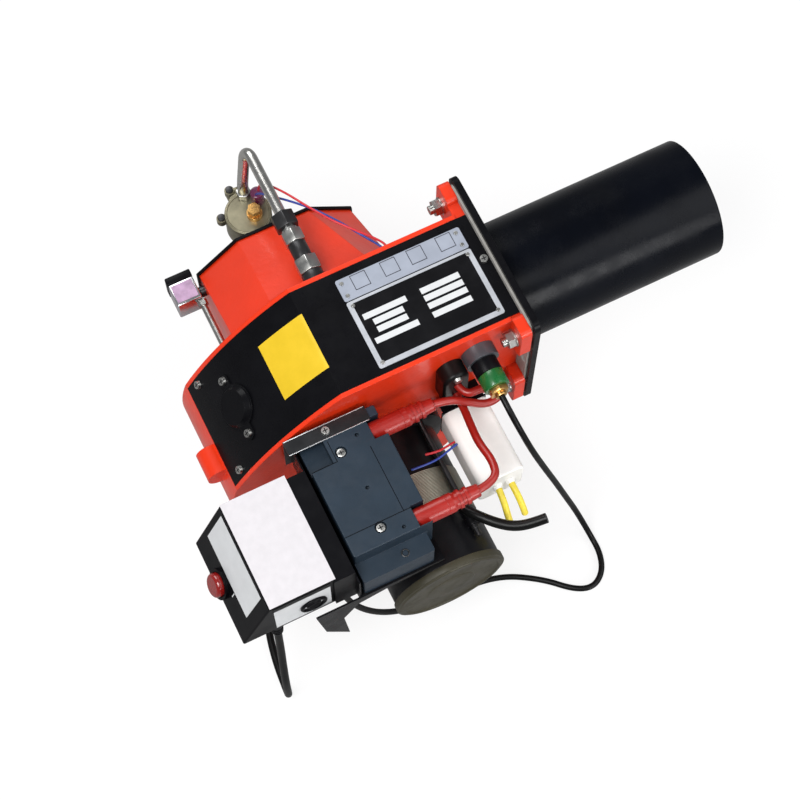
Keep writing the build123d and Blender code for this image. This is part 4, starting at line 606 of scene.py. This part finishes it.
class BURNER_OT_cords(bpy.types.Operator):
    """Lays the supply cord with its coil and plug, and the flame sensor's cable"""

    bl_idname = "burner.cords"
    bl_label = "Cords"

    def execute(self, context):
        sheath = look("black_rubber")
        floor = CORD_FLOOR
        supply = [
            (-294, -179, -35), (-296, -186, -75), (-300, -196, -116), (-303, -205, -148),
            (-303, -206, floor), (-299, -160, floor), (-286, -115, floor), (-252, -80, floor),
            (-195, -72.5, floor), (-138, -72.5, floor), (-129, -72.0, floor),
        ]
        upper = floor + 2 * POWER_RADIUS
        to_plug = [
            (-128, -155.5, upper), (-146, -155.5, upper - 3), (-163.4, -143.8, floor),
            (-171.3, -124.3, floor), (-188.7, -112.6, floor + 1), (-205, -112.6, -190.6),
        ]
        route = supply + coil_points() + to_plug
        power = add_cord("supply_cord", route, POWER_RADIUS, sheath)
        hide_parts("power_cord", "power_cord_coil")
        relief = self.strain_relief()
        dress(look("black_moulding"), "power_plug", "cable_gland")
        floor = CABLE_FLOOR
        cable = [
            (-49, -106, 40), (-49, -118, 38.5), (-46.5, -133, 27), (-40, -147, 0), (-29, -154, -40),
            (-17, -160, -82), (-6, -165, -123), (5, -171, -163), (13, -189, floor), (13, -209, floor),
            (6, -226, floor), (-8, -235, floor), (-25, -229, floor), (-47, -207, floor),
            (-82, -186, floor), (-128, -182, floor), (-168, -184, -176), (-198, -186, -138),
            (-220, -183, -96), (-232, -176, -56), (-233.5, -170, -19),
        ]
        sensor = add_cord("sensor_lead", cable, SENSOR_RADIUS, sheath)
        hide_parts("sensor_cable")
        return {"FINISHED"}

    def strain_relief(self):
        """Tapered ribbed sleeve where the supply cord leaves the gland."""
        sleeve = add_round((-294, -179, -35), (-294.6, -181.4, -52), 5.4, 32)
        edit_faces(sleeve, lambda face: face.normal.z < -0.9)
        bpy.ops.transform.resize(value=(0.78, 0.78, 0.78))
        bpy.ops.object.mode_set(mode="OBJECT")
        ribs = [sleeve]
        for depth in (39, 43, 47):
            share = (depth - 35) / 17
            middle = (-294 - 0.6 * share, -179 - 2.4 * share)
            ribs.append(add_round((*middle, -depth), (*middle, -depth - 1.6), 6.1 - 1.2 * share, 32))
        sleeve = joined(ribs)
        soften(sleeve, 0.3)
        return settle(sleeve, "cord_strain_relief", look("black_moulding"))


class BURNER_OT_casting(bpy.types.Operator):
    """Paints the housing, hood, flange, tube and cover, and adds the lug's screw and the port's rim"""

    bl_idname = "burner.casting"
    bl_label = "Housing and tube"

    def execute(self, context):
        dress(look("casting_enamel"), "fan_housing", "air_hood")
        dress(look("black_enamel"), "mounting_flange", "top_cover", "inlet_plate", "sight_port_cap")
        dress(look("tube_enamel"), "blast_tube")
        dress(look("galvanised"), "air_shutter", "fan_impeller", "valve_bracket")
        gasket = finish("Gasket fibre", (0.30, 0.29, 0.27), 0.85, tone=0.15, tone_scale=120, grain=0.0001)
        dress(gasket, "flange_gasket")
        dress(look("bright_steel"), "small_fasteners", "flange_bolts", "shutter_pivot", "motor_bearings",
              "motor_rotor")
        self.lug_screw()
        self.port_rim()
        return {"FINISHED"}

    def lug_screw(self):
        """Bright screw in the casting's rear lug."""
        head = add_round((-281, -12, -44), (-281, -9.5, -44), 5.0, 6)
        settle(head, "rear_lug_screw", look("bright_steel"), soft=0.5)

    def port_rim(self):
        """Round rim of the sight port's cap."""
        low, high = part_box("sight_port_cap")
        middle = (Vector(low) + Vector(high)) / 2
        outward = cover_normal(middle.x)
        rim = add_torus(middle + outward * mm(2.2), outward, 14.5, 0.9)
        settle(rim, "sight_port_rim", look("black_enamel"))


def arc_centre():
    """Centre and radius, in metres, of the cover's curve in the XZ plane."""
    (ax, az), (bx, bz), (cx, cz) = [mm(*point) for point in COVER_ARC]
    d = 2 * (ax * (bz - cz) + bx * (cz - az) + cx * (az - bz))
    squares = [ax * ax + az * az, bx * bx + bz * bz, cx * cx + cz * cz]
    x = (squares[0] * (bz - cz) + squares[1] * (cz - az) + squares[2] * (az - bz)) / d
    z = (squares[0] * (cx - bx) + squares[1] * (ax - cx) + squares[2] * (bx - ax)) / d
    return x, z, math.hypot(ax - x, az - z)


def cover_height(x):
    """Height of the top cover's outside at this X, in metres."""
    centre_x, centre_z, radius = arc_centre()
    if x > COVER_ARC[0][0] * 0.001:
        return mm(COVER_TOP)
    return centre_z + math.sqrt(radius * radius - (x - centre_x) ** 2)


def cover_normal(x):
    """Outward direction of the curved cover at this X."""
    centre_x, centre_z, radius = arc_centre()
    return Vector((x - centre_x, 0, cover_height(x) - centre_z)).normalized()


def add_torus(middle, outward, major, minor):
    """A ring about a direction, its radii in millimetres."""
    deselect()
    turn = Vector(outward).to_track_quat("Z", "Y").to_euler()
    bpy.ops.mesh.primitive_torus_add(
        location=middle, rotation=turn, major_radius=mm(major), minor_radius=mm(minor),
        major_segments=64, minor_segments=12)
    apply_place()
    bpy.ops.object.shade_smooth()
    return bpy.context.object


class BURNER_OT_plates(bpy.types.Operator):
    """Adds the nameplate's fields, the strip of empty outlines and the plain yellow label"""

    bl_idname = "burner.plates"
    bl_label = "Plates and labels"

    def execute(self, context):
        dress(look("silver_foil"), "nameplate")
        dress(look("grey_foil"), "symbol_plate")
        self.nameplate_fields()
        self.outlines()
        self.curved_label()
        return {"FINISHED"}

    def nameplate_fields(self):
        """Black field inside the silver frame, with blank silver boxes on it."""
        field = add_block((-129.5, -46.5, PLATE_TOP), (-23.5, 11.5, PLATE_TOP + 0.12))
        soften(field, 0.05, 1)
        ink = finish("Nameplate black", (0.004, 0.004, 0.005), 0.30, tone=0.2, tone_scale=60, grain=0.00001,
                     edge=0.0001, shine=0.16)
        settle(field, "nameplate_field", ink)
        boxes = []
        rows = (-1.0, -8.4, -15.9, -24.6)
        left = ((-126.5, -87), (-120.5, -93), (-120.5, -93), (-126.5, -87))
        for row, ends in zip(rows, left):
            for x0, x1 in (ends, (-73.8, -38)):
                boxes.append(add_block((x0, row - 5.4, PLATE_TOP + 0.12), (x1, row, PLATE_TOP + 0.22)))
        boxes = joined(boxes)
        settle(boxes, "nameplate_boxes", look("blank_label"), soft=0.04, segments=1)

    def outlines(self):
        """Four empty square outlines along the strip."""
        squares = []
        for x in (-114, -86.5, -62, -35):
            deselect()
            bpy.ops.mesh.primitive_plane_add(size=mm(14), location=mm(x, 28, PLATE_TOP + 0.02))
            apply_place()
            square = bpy.context.object
            edit_faces(square, lambda face: True)
            bpy.ops.mesh.inset(thickness=mm(0.6))
            bpy.ops.mesh.delete(type="FACE")
            bpy.ops.object.mode_set(mode="OBJECT")
            wall = square.modifiers.new("Ink thickness", "SOLIDIFY")
            wall.thickness = mm(0.1)
            wall.offset = 1
            bpy.ops.object.modifier_apply(modifier=wall.name)
            squares.append(square)
        squares = joined(squares)
        ink = finish("Outline ink", (0.02, 0.02, 0.03), 0.4, tone=0.1, edge=0.0001)
        settle(squares, "strip_outlines", ink)

    def curved_label(self):
        """Plain yellow film that follows the cover's curve."""
        deselect()
        low, high = mm(-212, -31, 0), mm(-170.5, 22, 0)
        bpy.ops.mesh.primitive_grid_add(
            x_subdivisions=24, y_subdivisions=2, size=1, location=(low + high) / 2)
        film = bpy.context.object
        film.scale = (high.x - low.x, high.y - low.y, 1)
        apply_place()
        for vertex in film.data.vertices:
            vertex.co.z = cover_height(vertex.co.x) + mm(0.03)
        wall = film.modifiers.new("Film thickness", "SOLIDIFY")
        wall.thickness = sizes().label_thickness
        wall.offset = 1
        bpy.ops.object.modifier_apply(modifier=wall.name)
        bpy.ops.object.shade_smooth_by_angle(angle=math.radians(30))
        settle(film, "blank_yellow_label", look("yellow_film"))


class BURNER_OT_motor(bpy.types.Operator):
    """Finishes the motor, its end cap and its capacitor"""

    bl_idname = "burner.motor"
    bl_label = "Motor"

    def execute(self, context):
        paint = finish("Motor paint", (0.004, 0.004, 0.005), 0.30, tone=0.25, tone_scale=30, grain=0.0001,
                       grain_scale=400, edge=0.001, shine=0.25)
        dress(paint, "motor_front_bell", "motor_rear_bell")
        stack = finish("Stator stack", (0.30, 0.29, 0.23), 0.34, metallic=0.85, tone=0.2, tone_scale=80)
        dress(banded(stack, "Y", 0.0012, 0.0002, 0.75), "motor_stator")
        copper = finish("Copper winding", (0.45, 0.13, 0.04), 0.4, metallic=0.6, tone=0.2, tone_scale=120)
        dress(copper, "motor_windings")
        dress(look("dark_steel"), "motor_tie_rods")
        dress(look("capacitor_white"), "capacitor")
        dress(look("black_enamel"), "capacitor_clamp")
        self.end_cap()
        self.capacitor_terminals()
        return {"FINISHED"}

    def end_cap(self):
        """Pressed end cap with a rolled rim and a shallow dish."""
        cap = add_round((-142, -197, -80), (-142, -203.4, -80), 51.5, 96)
        terrace(cap, (0, -1, 0), (
            (2.0, 0), (0.6, 1.2), (3.0, 0.2), (0.8, -1.4), (22, -0.2), (1.0, 0.7), (9, 0)))
        settle(cap, "motor_cap", look("end_cap_paint"), soft=0.5)
        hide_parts("motor_end_cap")

    def capacitor_terminals(self):
        """Two moulded terminal sockets at the capacitor's end."""
        sockets = [add_round((x, -151.8, -38), (x, -155.5, -38), 4.2, 24) for x in (-73, -61)]
        sockets = joined(sockets)
        settle(sockets, "capacitor_sockets", look("capacitor_white"), soft=0.5)


class BURNER_OT_ignition(bpy.types.Operator):
    """Finishes the transformer, its rail and bracket, the boots and the nozzle parts"""

    bl_idname = "burner.ignition"
    bl_label = "Ignition"

    def execute(self, context):
        dress(look("potting"), "ignition_transformer")
        dress(look("black_enamel"), "control_bracket")
        rail = finish("Dark zinc", (0.018, 0.019, 0.021), 0.28, metallic=0.4, tone=0.2, tone_scale=60)
        dress(rail, "transformer_rail")
        dress(look("red_silicone"), "ht_boots")
        dress(look("black_rubber"), "lead_grommet")
        porcelain = finish("Porcelain", (0.88, 0.86, 0.80), 0.18, tone=0.03, coat=0.5)
        dress(porcelain, "electrode_insulators")
        dress(look("dark_steel"), "electrodes")
        dress(look("bright_steel"), "electrode_clamp")
        dress(look("stainless"), "nozzle_line", "diffuser_disc")
        dress(look("brass"), "nozzle_holder", "oil_nozzle")
        self.transformer_screws()
        self.transformer_groove_shade()
        self.rail_edge_highlight()
        self.boot_rings()
        return {"FINISHED"}

    def transformer_screws(self):
        """Cross-head screws in the transformer's two wells."""
        heads = []
        for x, y in TRANSFORMER_SCREWS:
            head = add_round((x, y, 38), (x, y, TRANSFORMER_SCREW_TOP), 3.9, 32)
            soften(head, 0.6)
            heads.append(head)
        settle(joined(heads), "transformer_screws", look("bright_steel"))
        # Thin dark bars on the heads: painted shade of their cross recesses.
        recess_shade_bars = []
        for x, y in TRANSFORMER_SCREWS:
            for half_x, half_y in ((2.4, 0.45), (0.45, 2.4)):
                recess_shade_bars.append(add_block((x - half_x, y - half_y, 40.3), (x + half_x, y + half_y, 40.75)))
        settle(joined(recess_shade_bars), "transformer_screw_crosses", look("dark_steel"))
        step = add_round((-178, -187, 21.6), (-178, -187, 22.6), 3.6, 32)
        terrace(step, (0, 0, 1), ((0.9, 0.2), (0.4, -1.0), (0.9, 0)))
        settle(step, "transformer_step_eyelet", look("dark_steel"), soft=0.2)

    def transformer_groove_shade(self):
        """Fine dark strips on the transformer's top: painted shade of its moulded grooves."""
        top = TRANSFORMER_TOP
        lines = [
            add_block((-196.5, -98, top), (-196, -79, top + 0.25)),
            add_block((-219, -98.5, top), (-196, -98, top + 0.25)),
            add_block((-219, -160, top), (-158, -159.5, top + 0.25)),
            add_block((-166.5, -98, top), (-166, -159.5, top + 0.2)),
        ]
        settle(joined(lines), "transformer_lines", look("black_moulding"))

    def rail_edge_highlight(self):
        """Pale galvanised strips along the rail's lip: painted highlights where light catches its edges."""
        edge = joined([
            add_block((-229.6, -77.2, 42.3), (-157, -76.6, 43.6)),
            add_block((-229.6, -64.9, 43.4), (-157, -64.1, 43.7)),
        ])
        settle(edge, "rail_bright_edge", look("galvanised"), soft=0.15)

    def boot_rings(self):
        """Moulded rings round the boots."""
        rings = []
        for y in (-84.5, -168.0):
            for x, radius in ((-131, 8.3), (-103, 5.4)):
                rings.append(add_torus(mm(x, y, 32), (1, 0, 0), radius, 0.5))
        settle(joined(rings), "boot_rings", look("red_silicone"))


class BURNER_OT_leads(bpy.types.Operator):
    """Lays the high tension leads, the valve's wires and the motor's wires"""

    bl_idname = "burner.leads"
    bl_label = "Leads and wires"

    def execute(self, context):
        self.high_tension()
        self.valve_pair()
        self.motor_group()
        return {"FINISHED"}

    def high_tension(self):
        """Two thick leads from their boots through the bush to the electrodes."""
        silicone = look("red_silicone")
        upper = [
            (-102, -84.5, 32), (-86, -86, 29), (-71, -91, 16), (-56, -97, 7.5), (-39.5, -94, 9),
            (-41, -89, 23.5), (-57, -87, 24), (-75, -86, 23), (-75, -43, 23), (-62, -24, 21),
            (-38, -16, 18), (-8, -13, 15), (20, -13, 15),
        ]
        lower = [
            (-102, -168, 32), (-84, -166.5, 31), (-79, -149, 27), (-81, -128, 20), (-78, -108, 11),
            (-75, -87, 5), (-75, -43, 5), (-62, -22, 8), (-40, -2, 12), (-8, 13, 15), (20, 13, 15),
        ]
        for name, points in (("upper_spark_lead", upper), ("lower_spark_lead", lower)):
            lead = add_cord(name, points, 3.5, silicone)
            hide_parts("ht_leads")

    def valve_pair(self):
        """Thin red and blue wires from the valve's coil over the hood."""
        red = finish("Red wire", (0.55, 0.02, 0.03), 0.35, tone=0.05)
        blue = finish("Blue wire", (0.02, 0.05, 0.30), 0.35, tone=0.05)
        red_route = [
            (-146, 170, 12), (-145, 168, 28), (-141, 155, 44), (-133, 135, 57), (-124, 112, 66),
            (-112, 89, 70), (-97, 72, 68), (-83, 60, 61), (-77.1, 52, 57.5), (-77.1, 40, 57.5),
        ]
        blue_route = [
            (-149.5, 167, 12), (-149, 160, 27), (-143, 146, 40), (-133, 131, 50), (-119, 111, 58),
            (-105, 88, 63), (-93, 68, 62), (-83, 56, 57), (-79.9, 48, 56.5), (-79.9, 40, 56.5),
        ]
        for name, points, colour in (
            ("valve_wire_red", red_route, red), ("valve_wire_blue", blue_route, blue),
        ):
            wire = add_cord(name, points, 1.0, colour)
            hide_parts("valve_wires")

    def motor_group(self):
        """Yellow sleeves, two thin leads and the capped spare lead beside the motor."""
        yellow = finish("Yellow sleeve", (0.78, 0.62, 0.05), 0.4, tone=0.08)
        red = bpy.data.materials["Red wire"]
        blue = bpy.data.materials["Blue wire"]
        groups = (
            ("yellow_sleeve_near", 3.0, yellow, [
                (-73, -152.1, -38), (-74, -166, -39), (-75, -177, -50), (-74, -183, -63)]),
            ("yellow_sleeve_far", 3.0, yellow, [
                (-61, -152.1, -38), (-61, -164, -38), (-60, -174, -46), (-59, -179, -58)]),
            ("motor_wire_blue", 1.0, blue, [
                (-137, -115, -11), (-126, -116, -12), (-112, -115, -16), (-100, -111, -19),
                (-90, -108, -22)]),
            ("motor_wire_red", 1.0, red, [
                (-118, -104, -24.5), (-108, -107, -22), (-99, -106, -23), (-90, -104, -26)]),
            ("spare_lead", 4.5, look("black_rubber"), [
                (-113.4, -146, -32.6), (-111, -160, -26), (-103, -173, -22), (-92, -186, -21),
                (-80, -196, -19), (-66, -201, -15), (-54, -203, -11)]),
        )
        for name, radius, material, points in groups:
            wire = add_cord(name, points, radius, material)
            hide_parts("motor_wires")


class BURNER_OT_control(bpy.types.Operator):
    """Finishes the control unit, its blank labels and the reset button"""

    bl_idname = "burner.control"
    bl_label = "Control unit"

    def execute(self, context):
        dress(look("black_moulding"), "control_box", "control_base")
        board = finish("Circuit board", (0.03, 0.16, 0.06), 0.4, tone=0.2, tone_scale=200)
        dress(board, "control_board")
        button = finish("Red button", (0.22, 0.006, 0.005), 0.16, tone=0.06, tone_scale=60, coat=0.6)
        dress(button, "reset_button")
        self.paper()
        self.slanted_label()
        self.end_label()
        self.button_mark()
        return {"FINISHED"}

    def paper(self):
        """Blank paper over the unit's top."""
        sheet = add_block((-298.4, -187.6, 44.02), (-240.5, -90.5, 44.2))
        settle(sheet, "top_paper", look("blank_paper"), soft=0.05, segments=1)

    def slant(self):
        """The slanted face's two directions and the upper edge that it starts from."""
        return Vector((0, 1, 0)), Vector(SLANT_RUN).normalized(), mm(*SLANT_START)

    def slanted_label(self):
        """Blank pale label on the slanted face."""
        across, down, start = self.slant()
        full = mm(SLANT_LENGTH)
        label = add_plate(start + down * full * 0.33 + mm(0, -136.5, 0), across, down, mm(77),
                          full * 0.54, sizes().label_thickness)
        settle(label, "slanted_label", look("blank_label"), soft=0.05, segments=1)

    def end_label(self):
        """Pale panel on the unit's end, crossed by a dark strip."""
        panel = add_block((-296, -188.25, -14), (-246, -188.0, 33))
        settle(panel, "end_panel", look("blank_label"), soft=0.05, segments=1)
        strip = add_block((-296.5, -188.45, 33), (-245.5, -188.0, 41))
        settle(strip, "end_strip", look("black_moulding"), soft=0.05, segments=1)
        ring = add_torus(mm(-262, -189.4, 8), (0, -1, 0), 10.5, 1.5)
        plug = add_round((-262, -188.2, 8), (-262, -190.2, 8), 6.5, 48)
        terrace(plug, (0, -1, 0), ((1.2, 0.5), (1.6, -0.8)))
        soften(plug, 0.3)
        settle(joined([plug, ring]), "end_cable_entry", look("black_moulding"))

    def button_mark(self):
        """Short white tick beside the reset button."""
        across, down, start = self.slant()
        outward = across.cross(down).normalized()
        centre = start + down * mm(SLANT_LENGTH * 0.66) + mm(0, -152, 0) + outward * mm(0.02)
        tick = add_plate(centre, across, down, mm(1.2), mm(6), mm(0.15))
        settle(tick, "button_tick", look("blank_label"))


class BURNER_OT_sensor(bpy.types.Operator):
    """Builds the flame sensor's body, green band and brass nut"""

    bl_idname = "burner.sensor"
    bl_label = "Flame sensor"

    def execute(self, context):
        ring = finish("Grey ring", (0.07, 0.075, 0.085), 0.32, metallic=0.3, tone=0.15, tone_scale=80)
        dress(ring, "sensor_holder")
        x, z = SENSOR_X, SENSOR_Z
        body = add_round((x, -60, z), (x, -84, z), 11.5, 64)
        terrace(body, (0, -1, 0), ((0.8, 0), (0.5, -0.4)))
        settle(body, "sensor_body", look("black_moulding"), soft=0.5)
        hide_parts("flame_sensor")
        green = finish("Green band", (0.005, 0.11, 0.022), 0.25, tone=0.12, tone_scale=80, coat=0.4)
        band = add_round((x, -84.2, z), (x, -97.6, z), 11.3, 64)
        terrace(band, (0, -1, 0), ((1.5, 0.4), (2.0, 0)))
        settle(band, "sensor_band", green, soft=0.5)
        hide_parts("flame_sensor")
        nut = add_round((x, -98.0, z), (x, -103, z), 9.0, 6)
        soften(nut, 0.6)
        neck = add_round((x, -103, z), (x, -106, z), 5.2, 32)
        soften(neck, 0.5)
        nut = settle(joined([nut, neck]), "sensor_nut", look("brass"))
        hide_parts("flame_sensor")
        return {"FINISHED"}


class BURNER_OT_valve(bpy.types.Operator):
    """Finishes the oil valve, its tube with fittings, and the small air solenoid"""

    bl_idname = "burner.valve"
    bl_label = "Oil valve"

    def execute(self, context):
        dress(look("yellow_zinc"), "valve_body")
        dress(look("brass"), "valve_cap")
        purple = finish("Purple moulding", (0.10, 0.012, 0.055), 0.25, tone=0.15, coat=0.3)
        dress(purple, "valve_coil")
        dress(look("stainless"), "oil_tube")
        dress(look("bright_steel"), "air_pipe")
        self.valve_ring()
        self.fittings()
        self.solenoid()
        return {"FINISHED"}

    def valve_ring(self):
        """Crimped ring round the valve's top, and screws in its ears."""
        ring = add_torus(mm(-161, 161.5, -4.2), (0, 0, 1), 19.2, 0.9)
        settle(ring, "valve_rim", look("yellow_zinc"))
        screws = []
        for x, y in ((-166.5, 190.0), (-184.0, 168.0)):
            screws.append(add_round((x, y, -6.5), (x, y, -3.6), 3.4, 24))
        screws = joined(screws)
        settle(screws, "valve_ear_screws", look("dark_steel"), soft=0.5)

    def fittings(self):
        """Compression fittings along the tube: hexagons and collars in black and bright steel."""
        x, z = TUBE_X, TUBE_Z
        black_pieces = []
        bright_pieces = []
        for start, end, flats, target in (
            (118, 104, 19, black_pieces), (100, 88, 17, bright_pieces), (72, 58, 19, bright_pieces),
            (44, 36, 17, bright_pieces),
        ):
            target.append(hexagon((x, start, z), (x, end, z), flats))
        for start, end, radius, target in (
            (104, 100, 7, bright_pieces), (88, 72, 8, black_pieces), (58, 48, 9.5, black_pieces),
        ):
            turned = add_round((x, start, z), (x, end, z), radius, 48)
            soften(turned, 0.6)
            target.append(turned)
        bright_pieces.append(hexagon((-157, 179, -4), (-157, 179, 4), 12))
        dark = settle(joined(black_pieces), "tube_fittings_black", look("dark_steel"))
        pale = settle(joined(bright_pieces), "tube_fittings_bright", look("bright_steel"))
        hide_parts("tube_fittings")
        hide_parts("tube_fittings")

    def solenoid(self):
        """Small air solenoid: bright case, black connector, blank tinted label and its fitting."""
        case = add_block((-251.6, 114.2, -47.6), (-228.4, 136.5, -22.6))
        soften(case, 1.2, 3)
        chrome = finish("Bright case", (0.70, 0.69, 0.72), 0.2, metallic=1.0, tone=0.12, tone_scale=60)
        case = settle(case, "solenoid_case", chrome)
        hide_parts("solenoid_coil")
        connector = add_block((-252, 136.3, -48), (-228, 144, -22))
        connector = settle(connector, "solenoid_connector", look("black_moulding"),
                           soft=1.2, segments=3)
        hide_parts("solenoid_coil")
        film = add_block((-250, 117, -22.7), (-230.5, 134.5, -22.35))
        soften(film, 0.1, 1)
        tint = finish("Tinted foil", (0.42, 0.28, 0.42), 0.35, metallic=0.3, tone=0.25, tone_scale=120)
        settle(film, "solenoid_label", tint)
        stem = add_round((-228.6, 125, -38), (-218.2, 125, -38), 4.95, 32)
        stem = settle(stem, "solenoid_fitting", look("dark_steel"), soft=0.4)
        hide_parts("solenoid_coil")


def hexagon(start, end, flats):
    """A hexagonal nut with softened corners, its size across the flats in millimetres."""
    nut = add_round(start, end, flats / 2 / math.cos(math.pi / 6), 6)
    soften(nut, 0.7)
    return nut


class BURNER_OT_fasteners(bpy.types.Operator):
    """Lays thin dark bars on the cover's screws as painted shade of their cross recesses, and threads on
    the bolts
    """

    bl_idname = "burner.fasteners"
    bl_label = "Fasteners"

    def execute(self, context):
        recess_shade_bars = []
        for place in ((-13, 0, 72.4), (-194, -70.5, 45.9)):
            recess_shade_bars.extend(self.cross(mm(*place), Vector((0, 0, 1))))
        for x, y, head in ((-266, 37, 2.4), (-266, -49, 2.4), (-247, 20, 3.9), (-247, -32, 3.9)):
            outward = cover_normal(mm(x))
            place = Vector((mm(x), mm(y), cover_height(mm(x))))
            recess_shade_bars.extend(self.cross(place + outward * mm(head), outward))
        settle(joined(recess_shade_bars), "screw_crosses", look("dark_steel"))
        self.bolt_threads()
        return {"FINISHED"}

    def cross(self, place, outward):
        """Two thin dark bars: painted shade of a cross recess."""
        side = outward.cross(Vector((0, 1, 0))).normalized()
        other = outward.cross(side).normalized()
        sunk = place - outward * mm(0.15)
        return [
            add_plate(sunk, side, other, mm(4.6), mm(0.9), mm(0.25)),
            add_plate(sunk, side, other, mm(0.9), mm(4.6), mm(0.25)),
        ]

    def bolt_threads(self):
        """Thread crests on the free ends of the four flange bolts."""
        rings = []
        for y in (BOLT_Y, -BOLT_Y):
            for z in (BOLT_Z, -BOLT_Z):
                for step in range(3):
                    rings.append(add_torus(mm(-27 - 1.2 * step, y, z), (1, 0, 0), 3.7, 0.45))
        settle(joined(rings), "bolt_threads", look("bright_steel"))


class BURNER_PT_panel(bpy.types.Panel):
    """Lists the burner's finishes and pieces."""

    bl_idname = "BURNER_PT_panel"
    bl_label = "Waste oil burner"
    bl_space_type = "VIEW_3D"
    bl_region_type = "UI"
    bl_category = "Burner"

    def draw(self, context):
        layout = self.layout
        for group in (context.scene.burner_finishes, context.scene.burner_sizes):
            for key in group.__annotations__:
                layout.prop(group, key)
        for operator in OPERATORS:
            layout.operator(operator.bl_idname)


OPERATORS = (
    BURNER_OT_stage, BURNER_OT_cords, BURNER_OT_casting, BURNER_OT_plates, BURNER_OT_motor,
    BURNER_OT_ignition, BURNER_OT_leads, BURNER_OT_control, BURNER_OT_sensor, BURNER_OT_valve,
    BURNER_OT_fasteners,
)
CLASSES = (BurnerFinishes, BurnerSizes, *OPERATORS, BURNER_PT_panel)


def register():
    """Registers the classes and hangs the settings on the scene."""
    for item in CLASSES:
        bpy.utils.register_class(item)
    bpy.types.Scene.burner_finishes = PointerProperty(type=BurnerFinishes)
    bpy.types.Scene.burner_sizes = PointerProperty(type=BurnerSizes)


def unregister():
    """Takes the settings and the classes away again."""
    del bpy.types.Scene.burner_sizes
    del bpy.types.Scene.burner_finishes
    for item in reversed(CLASSES):
        bpy.utils.unregister_class(item)


def main():
    """Builds the shared groups and every piece."""
    register()
    build_patchy_tone()
    build_handled_gloss()
    build_fine_relief()
    for operator in OPERATORS:
        group, name = operator.bl_idname.split(".")
        if getattr(getattr(bpy.ops, group), name)() != {"FINISHED"}:
            raise RuntimeError(f"{operator.bl_label} did not finish")
    deselect()
    boxes = {"cad": CAD_BOX, "visual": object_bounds()}
    boxes = {key: [list(map(float, corner)) for corner in value] for key, value in boxes.items()}


if __name__ == "__main__":
    main()
